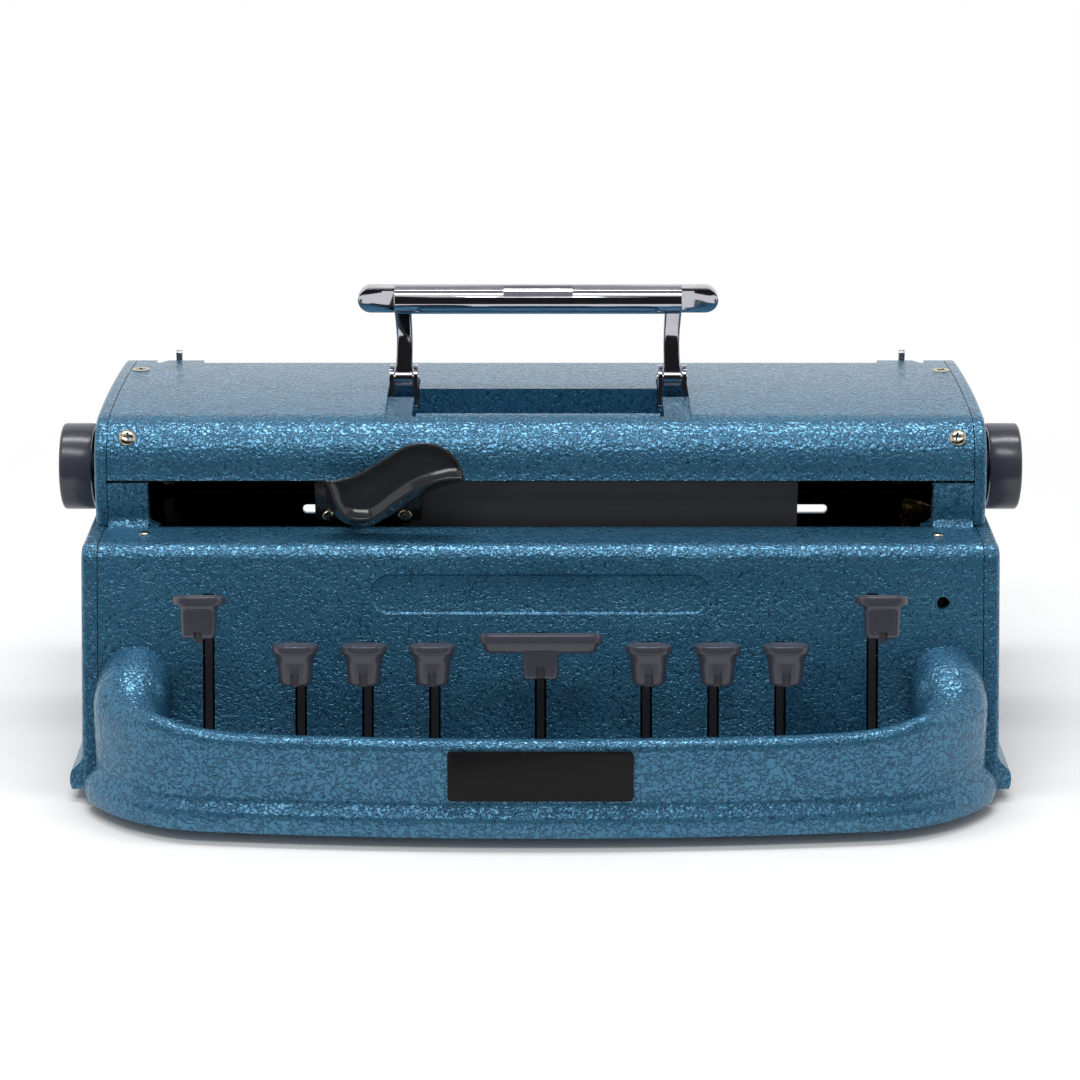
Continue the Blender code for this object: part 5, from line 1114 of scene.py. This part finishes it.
place(handle(), FINISHES["chrome"], "handle", "chrome", ["handle"])
print("handle:", 2 * BAR_HALF / MM, "mm over its ends")

# %% [markdown]
# ## Screws
# Cross-head screws in nickel hold the hood, and two more clamp the carriage bracket. One head is
# modelled, and a small Geometry Nodes tree sets a copy on every point of a cloud, turned by the
# point's own Euler angles. The result is made plain mesh before it rides on its body.

# %% Geometry Nodes groups, and copies of a piece on points


def open_group(name, inputs):
    tree = bpy.data.node_groups.new(name, "GeometryNodeTree")
    for socket, kind in inputs.items():
        tree.interface.new_socket(name=socket, in_out="INPUT", socket_type="NodeSocket" + kind)
    tree.interface.new_socket(name="Made", in_out="OUTPUT", socket_type="NodeSocketGeometry")
    return tree, add_node(tree, "NodeGroupInput").outputs


def close_group(tree, geometry, finish):
    solid = add_node(tree, "GeometryNodeRealizeInstances", {"Geometry": geometry})
    painted = add_node(tree, "GeometryNodeSetMaterial", {"Geometry": solid.outputs[0], "Material": finish})
    add_node(tree, "NodeGroupOutput", {0: painted.outputs[0]})
    return tree


def run_group(obj, tree, **values):
    """Sets the named inputs by their identifiers and turns the result to plain mesh."""
    step = obj.modifiers.new(tree.name, "NODES")
    step.node_group = tree
    sockets = {item.name: item.identifier for item in tree.interface.items_tree if item.in_out == "INPUT"}
    for key, value in values.items():
        step[sockets[key]] = value
    return applied(obj)


def copies_tree():
    """A group that puts the piece on each point, with the point's turn and size."""
    inputs = {"Points": "Geometry", "Piece": "Object", "Finish": "Material"}
    tree, given = open_group("Copies on points", inputs)
    piece = add_node(tree, "GeometryNodeObjectInfo", {"Object": given["Piece"], "As Instance": True})
    turn = add_node(tree, "GeometryNodeInputNamedAttribute", {"Name": "turn"}, data_type="FLOAT_VECTOR")
    size = add_node(tree, "GeometryNodeInputNamedAttribute", {"Name": "size"}, data_type="FLOAT")
    angles = add_node(tree, "FunctionNodeEulerToRotation", {0: turn.outputs["Attribute"]})
    links = {"Points": given["Points"], "Instance": piece.outputs["Geometry"]}
    links |= {"Rotation": angles.outputs[0], "Scale": size.outputs["Attribute"]}
    made = add_node(tree, "GeometryNodeInstanceOnPoints", links)
    return close_group(tree, made.outputs["Instances"], given["Finish"])


COPIES = copies_tree()


def copies(name, piece, spots, finish):
    """One mesh with the piece at each spot: place in mm, turn in degrees and size."""
    mesh = bpy.data.meshes.new(name)
    mesh.from_pydata([[v * MM for v in spot[0]] for spot in spots], [], [])
    mesh.attributes.new("turn", "FLOAT_VECTOR", "POINT")
    mesh.attributes.new("size", "FLOAT", "POINT")
    for i, (_, turn, size) in enumerate(spots):
        mesh.attributes["turn"].data[i].vector = [math.radians(angle) for angle in turn]
        mesh.attributes["size"].data[i].value = size
    made = run_group(new_object(name, mesh), COPIES, Piece=piece, Finish=finish)
    bpy.data.objects.remove(piece, do_unlink=True)
    return made


# %% Screws


def screw_head(name, radius, high, domed):
    """A head with a cross recess, its seat at the origin and its face up."""
    profile = [(0, -0.8 * MM), (radius * 0.9, -0.8 * MM), (radius, 0.0)]
    if domed:
        for i in range(1, 10):
            angle = math.pi / 2 * i / 10
            profile.append((radius * math.cos(angle) ** 0.7, high * math.sin(angle)))
    else:
        profile += [(radius, high * 0.6), (radius - 0.25 * MM, high)]
    head = turned(name, "Z", (0, 0), profile + [(0, high)], 48)
    arm, wide = radius * 0.55, radius * 0.13
    for x, y in ((arm, wide), (wide, arm)):
        head = cut(head, block("Cross", (-x, -y, high * 0.15 - 0.3 * MM), (x, y, high + MM)))
    pit = [(wide * 0.8, -0.5 * MM), (wide * 2.3, high + MM)]
    return cut(head, turned("Pit", "Z", (0, 0), pit, 24))


CORNER_ANGLE = math.radians(138.5)
FACE = (
    (SILL_Y + 1.5 * MM + HOOD_R + HOOD_R * math.cos(CORNER_ANGLE)) / MM,
    (HOOD_TOP - HOOD_R + HOOD_R * math.sin(CORNER_ANGLE)) / MM,
)
SCREWS = (
    (
        ("hood_screws", "frame", 3.5, 1.5, True),
        ((-164.4, *FACE), (48.5, 0, 15), 1.0),
        ((166.0, *FACE), (48.5, 0, -20), 1.0),
        ((-157.2, -25.7, 98.0), (0, 0, 30), 0.62),
        ((157.5, -27.5, 98.0), (0, 0, 10), 0.62),
    ),
    (
        ("countersunk_screws", "frame", 3.7, 0.25, False),
        ((-168.5, 72.3, 138.75), (-1.5, 0, 20), 1.0),
        ((168.7, 70.7, 138.8), (-1.5, 0, 50), 1.0),
    ),
    (
        ("carriage_screws", "carriage", 3.0, 1.3, True),
        ((-84.9, -11.4, 100.6), (90, 0, 35), 1.0),
        ((-54.3, -11.4, 100.6), (90, 0, 0), 1.0),
    ),
)
for (name, body, radius, high, domed), *spots in SCREWS:
    head = screw_head("Head of " + name, radius * MM, high * MM, domed)
    heads = copies(name, head, spots, FINISHES["nickel"])
    place(heads, FINISHES["nickel"], body, "zinc_plate")
print(sum(len(row) - 1 for row in SCREWS), "screws")

# %% [markdown]
# ## Return springs
# Nine coil springs pull the key levers back. A Geometry Nodes spiral, swept with a round wire,
# gives one coil; the tree that set the screws then stands a copy on the anchor bar at each key.

# %% Springs by Geometry Nodes


def coil_tree():
    """A group that sweeps a round wire along a spiral."""
    inputs = dict.fromkeys(("Radius", "Height", "Turns", "Wire"), "Float") | {"Finish": "Material"}
    tree, given = open_group("Coil spring", {"Start": "Geometry"} | inputs)
    links = {"Resolution": 18, "Rotations": given["Turns"], "Height": given["Height"]}
    links |= {"Start Radius": given["Radius"], "End Radius": given["Radius"]}
    path = add_node(tree, "GeometryNodeCurveSpiral", links)
    wire = add_node(tree, "GeometryNodeCurvePrimitiveCircle", {"Resolution": 8, "Radius": given["Wire"]})
    links = {0: path.outputs[0], 1: wire.outputs[0], "Fill Caps": True}
    tube = add_node(tree, "GeometryNodeCurveToMesh", links)
    return close_group(tree, tube.outputs[0], given["Finish"])


def coil(name, **values):
    return run_group(new_object(name, bpy.data.meshes.new(name)), coil_tree(), **values)


def node_bounds(name):
    corners = [vert.co for vert in nodes[name].data.vertices]
    return [(min(c[k] for c in corners), max(c[k] for c in corners)) for k in range(3)]


BAR_HIGH, COIL_R, WIRE_R, PITCH = mm(3.0, 1.85, 0.33, 0.85)
(bar_x0, bar_x1), (bar_y0, bar_y1), (bar_low, posts_top) = node_bounds("key_return_springs")
bar_top = bar_low + BAR_HIGH
bar = soften(block("spring_anchor_bar", (bar_x0, bar_y0, bar_low), (bar_x1, bar_y1, bar_top)), 0.3, 2)
pull = posts_top - bar_top - 0.6 * MM
turns = float(round(pull / PITCH))
one = coil("One spring", Radius=COIL_R, Height=pull, Turns=turns, Wire=WIRE_R, Finish=FINISHES["zinc"])
spring_x = [0.0, *DOT_X, *(-x for x in DOT_X), END_X, -END_X]
foot = ((bar_y0 + bar_y1) / 2 / MM, bar_top / MM + 0.3)
spots = [((x / MM, *foot), (0, 0, 40 * i), 1.0) for i, x in enumerate(spring_x)]
springs = copies("key_return_coils", one, spots, FINISHES["zinc"])
place(bar, FINISHES["zinc"], "frame", "spring_steel", ["key_return_springs"])
place(springs, FINISHES["drawn_steel"], "frame", "spring_steel")
print("nine springs,", len(springs.data.polygons), "faces")

# %% [markdown]
# ## The rest of the mechanism
# Rods, gears, levers and the carriage keep the construction's own forms where they are right.
# Each gets the finish of its real metal through its material slot, except the rails, feed roller,
# gears, drum and rack inside, which are painted near black as shade.

# %% Finishes for the pieces that keep their form
BY_SLOT = {
    "black_label": "label_print",
    "black_oxide_steel": "black_oxide",
    "black_rubber": "rubber",
    "key_lever_steel": "lever_steel",
    "grey_moulded_plastic": "grey_abs",
    "bright_steel": "drawn_steel",
    "spring_steel": "zinc",
    "zinc_plate": "zinc",
    "brass": "brass",
    "dark_grey_paint": "shield_paint",
    "dark_moulded_plastic": "black_phenolic",
    "chrome": "chrome",
}
# Painted shade: the rails and feed roller take a near-black steel, and the gears, drum and rack the black of
# oxide, as the dark inside.
BY_NODE = {name: "steel_dark_as_shade" for name in ("carriage_rail_upper", "carriage_rail_lower", "feed_roller")}
BY_NODE |= {name: "black_oxide" for name in ("roller_gear", "drum_gear", "mainspring_drum", "rack_bar")}
BY_NODE |= {"carriage_bracket": "bracket_steel", "embossing_head": "bracket_steel"}
slot_of = {row["node"]: row["material_slot"] for row in frame["record"]["subparts"]}
for name, node in nodes.items():
    slot = slot_of[name]
    for material_slot in node.material_slots:
        painted = slot == "hammertone_blue" and name not in BY_NODE
        material_slot.material = ENAMEL if painted else FINISHES[BY_NODE.get(name) or BY_SLOT[slot]]
print(len(nodes), "nodes have a finish")

# %% Eased edges on the pieces that keep their form
LEFT_RIGHT = ("left", "right")
EASED = {
    "frame": [
        *("label_plate", "shield_plate", "rack_bar", "base_pan", "bell", "lever_comb"),
        *(f"rubber_foot_{end}_{side}" for end in ("front", "rear") for side in LEFT_RIGHT),
        *(f"handle_bracket_{side}" for side in LEFT_RIGHT),
    ],
    "carriage": ["embossing_head", "carriage_bracket"],
    "release": [f"release_lever_{side}" for side in LEFT_RIGHT],
} | {f"margin_{side}": [f"margin_stop_{side}"] for side in LEFT_RIGHT}
for body, names in EASED.items():
    for name in names:
        finish = nodes[name].material_slots[0].material
        eased = soften(merged_copy(name), 0.12 if name == "label_plate" else 0.25, 2, 45)
        place(eased, finish, body, slot_of[name], [name])
print(sum(len(names) for names in EASED.values()), "pieces have eased edges")

# %% [markdown]
# ## Camera, floor and light
# The photograph looks slightly down, from 19 degrees above the table, through a long lens. The
# enamel gets its look from what it mirrors: a pale floor, and two narrow soft boxes overhead that
# draw the glints. A black card below the lens gives the sloping panel its depth, and a grey one
# far above dims what the hood mirrors.

# %% Camera
LOOK_DOWN = math.radians(19)
MACHINE_MIDDLE = 80 * MM
AIM, AWAY, ZOOM_MM = Vector((0, 0, 70 * MM)), 1300 * MM, 106.38
camera_data = bpy.data.cameras.new("Camera")
camera_data.lens, camera_data.sensor_width = ZOOM_MM, 36.0
camera_data.shift_x, camera_data.shift_y = -0.0005, 0.0363
camera_data.clip_end = 20
camera = new_object("Camera", camera_data)
camera.location = AIM + AWAY * Vector((0, -math.cos(LOOK_DOWN), math.sin(LOOK_DOWN)))
camera.rotation_euler = (math.pi / 2 - LOOK_DOWN, 0, 0)
bpy.context.scene.camera = camera

# %% Floor and studio light


def soft_light(name, at, size, power):
    """A soft box that faces the middle of the machine."""
    data = bpy.data.lights.new(name, "AREA")
    data.shape = "RECTANGLE"
    data.size, data.size_y = size
    data.energy = power
    lamp = new_object(name, data)
    lamp.location = at
    lamp.rotation_euler = (Vector((0, 0, MACHINE_MIDDLE)) - Vector(at)).to_track_quat("-Z", "Y").to_euler()


def sight_rays(tree):
    """One for camera, glossy and transmission rays, which see the studio's white, and nought for light."""
    rays = add_node(tree, "ShaderNodeLightPath").outputs
    seen = arithmetic(tree, "ADD", rays["Is Camera Ray"], rays["Is Glossy Ray"])
    both = add_node(tree, "ShaderNodeMath", {0: seen, 1: rays["Is Transmission Ray"]})
    both.use_clamp = True
    return both.outputs[0]


FADE_FROM, FADE_TO = 0.28, 0.6
WHITE = linear("#ffffff")
floor = block("Floor", (-6, -6, -0.02), (6, 6, 0))
paper, tree, shader = new_material("pale_paper_sweep", "#f6f6f6", 0.9, Specular_IOR_Level=0.0)
off = add_node(tree, "ShaderNodeVectorMath", {0: here(tree)}, operation="LENGTH")
far = spread(tree, off.outputs["Value"], FADE_FROM, FADE_TO, kind=SOFT_STEP)
fade = arithmetic(tree, "MULTIPLY", sight_rays(tree), far)
glow = add_node(tree, "ShaderNodeEmission", {"Color": WHITE, "Strength": 1.0})
mixed = add_node(tree, "ShaderNodeMixShader", {0: fade, 1: shader.outputs[0], 2: glow.outputs[0]})
tree.links.new(mixed.outputs[0], tree.nodes["Material Output"].inputs["Surface"])
floor.data.materials.append(paper)

world = bpy.data.worlds.new("Studio")
bpy.context.scene.world = world
world.use_nodes = True
tree = world.node_tree
tree.nodes.clear()
soft = add_node(tree, "ShaderNodeBackground", {"Color": WHITE, "Strength": 0.5})
white = add_node(tree, "ShaderNodeBackground", {"Color": WHITE, "Strength": 1.0})
mix = add_node(tree, "ShaderNodeMixShader", {0: sight_rays(tree), 1: soft.outputs[0], 2: white.outputs[0]})
add_node(tree, "ShaderNodeOutputWorld", {"Surface": mix.outputs[0]})
soft_light("Overhead box", (0, 0.1, 1.5), (1.3, 0.24), 12.5)
soft_light("Front box", (-0.15, -0.8, 1.35), (1.0, 0.26), 6)

# %% Cards
# A black card ahead of the machine and a grey one above it. Only glossy rays see them, so they show
# in paint and plating and nowhere else.


def flag(name, finish, colour, low, high):
    card = block(name, low, high)
    card.data.materials.append(new_material(finish, colour, 0.9)[0])
    for kind in ("camera", "diffuse", "transmission", "volume_scatter", "shadow"):
        setattr(card, "visible_" + kind, False)


flag("Card in front", "matt_black_card", "#101011", (-1.1, -0.345, 0.0), (1.1, -0.335, 0.45))
flag("Card above", "grey_ceiling_card", "#b8b8c0", (-1.6, -1.2, 2.0), (1.6, 1.6, 2.01))
bpy.context.scene.view_settings.view_transform = "Standard"
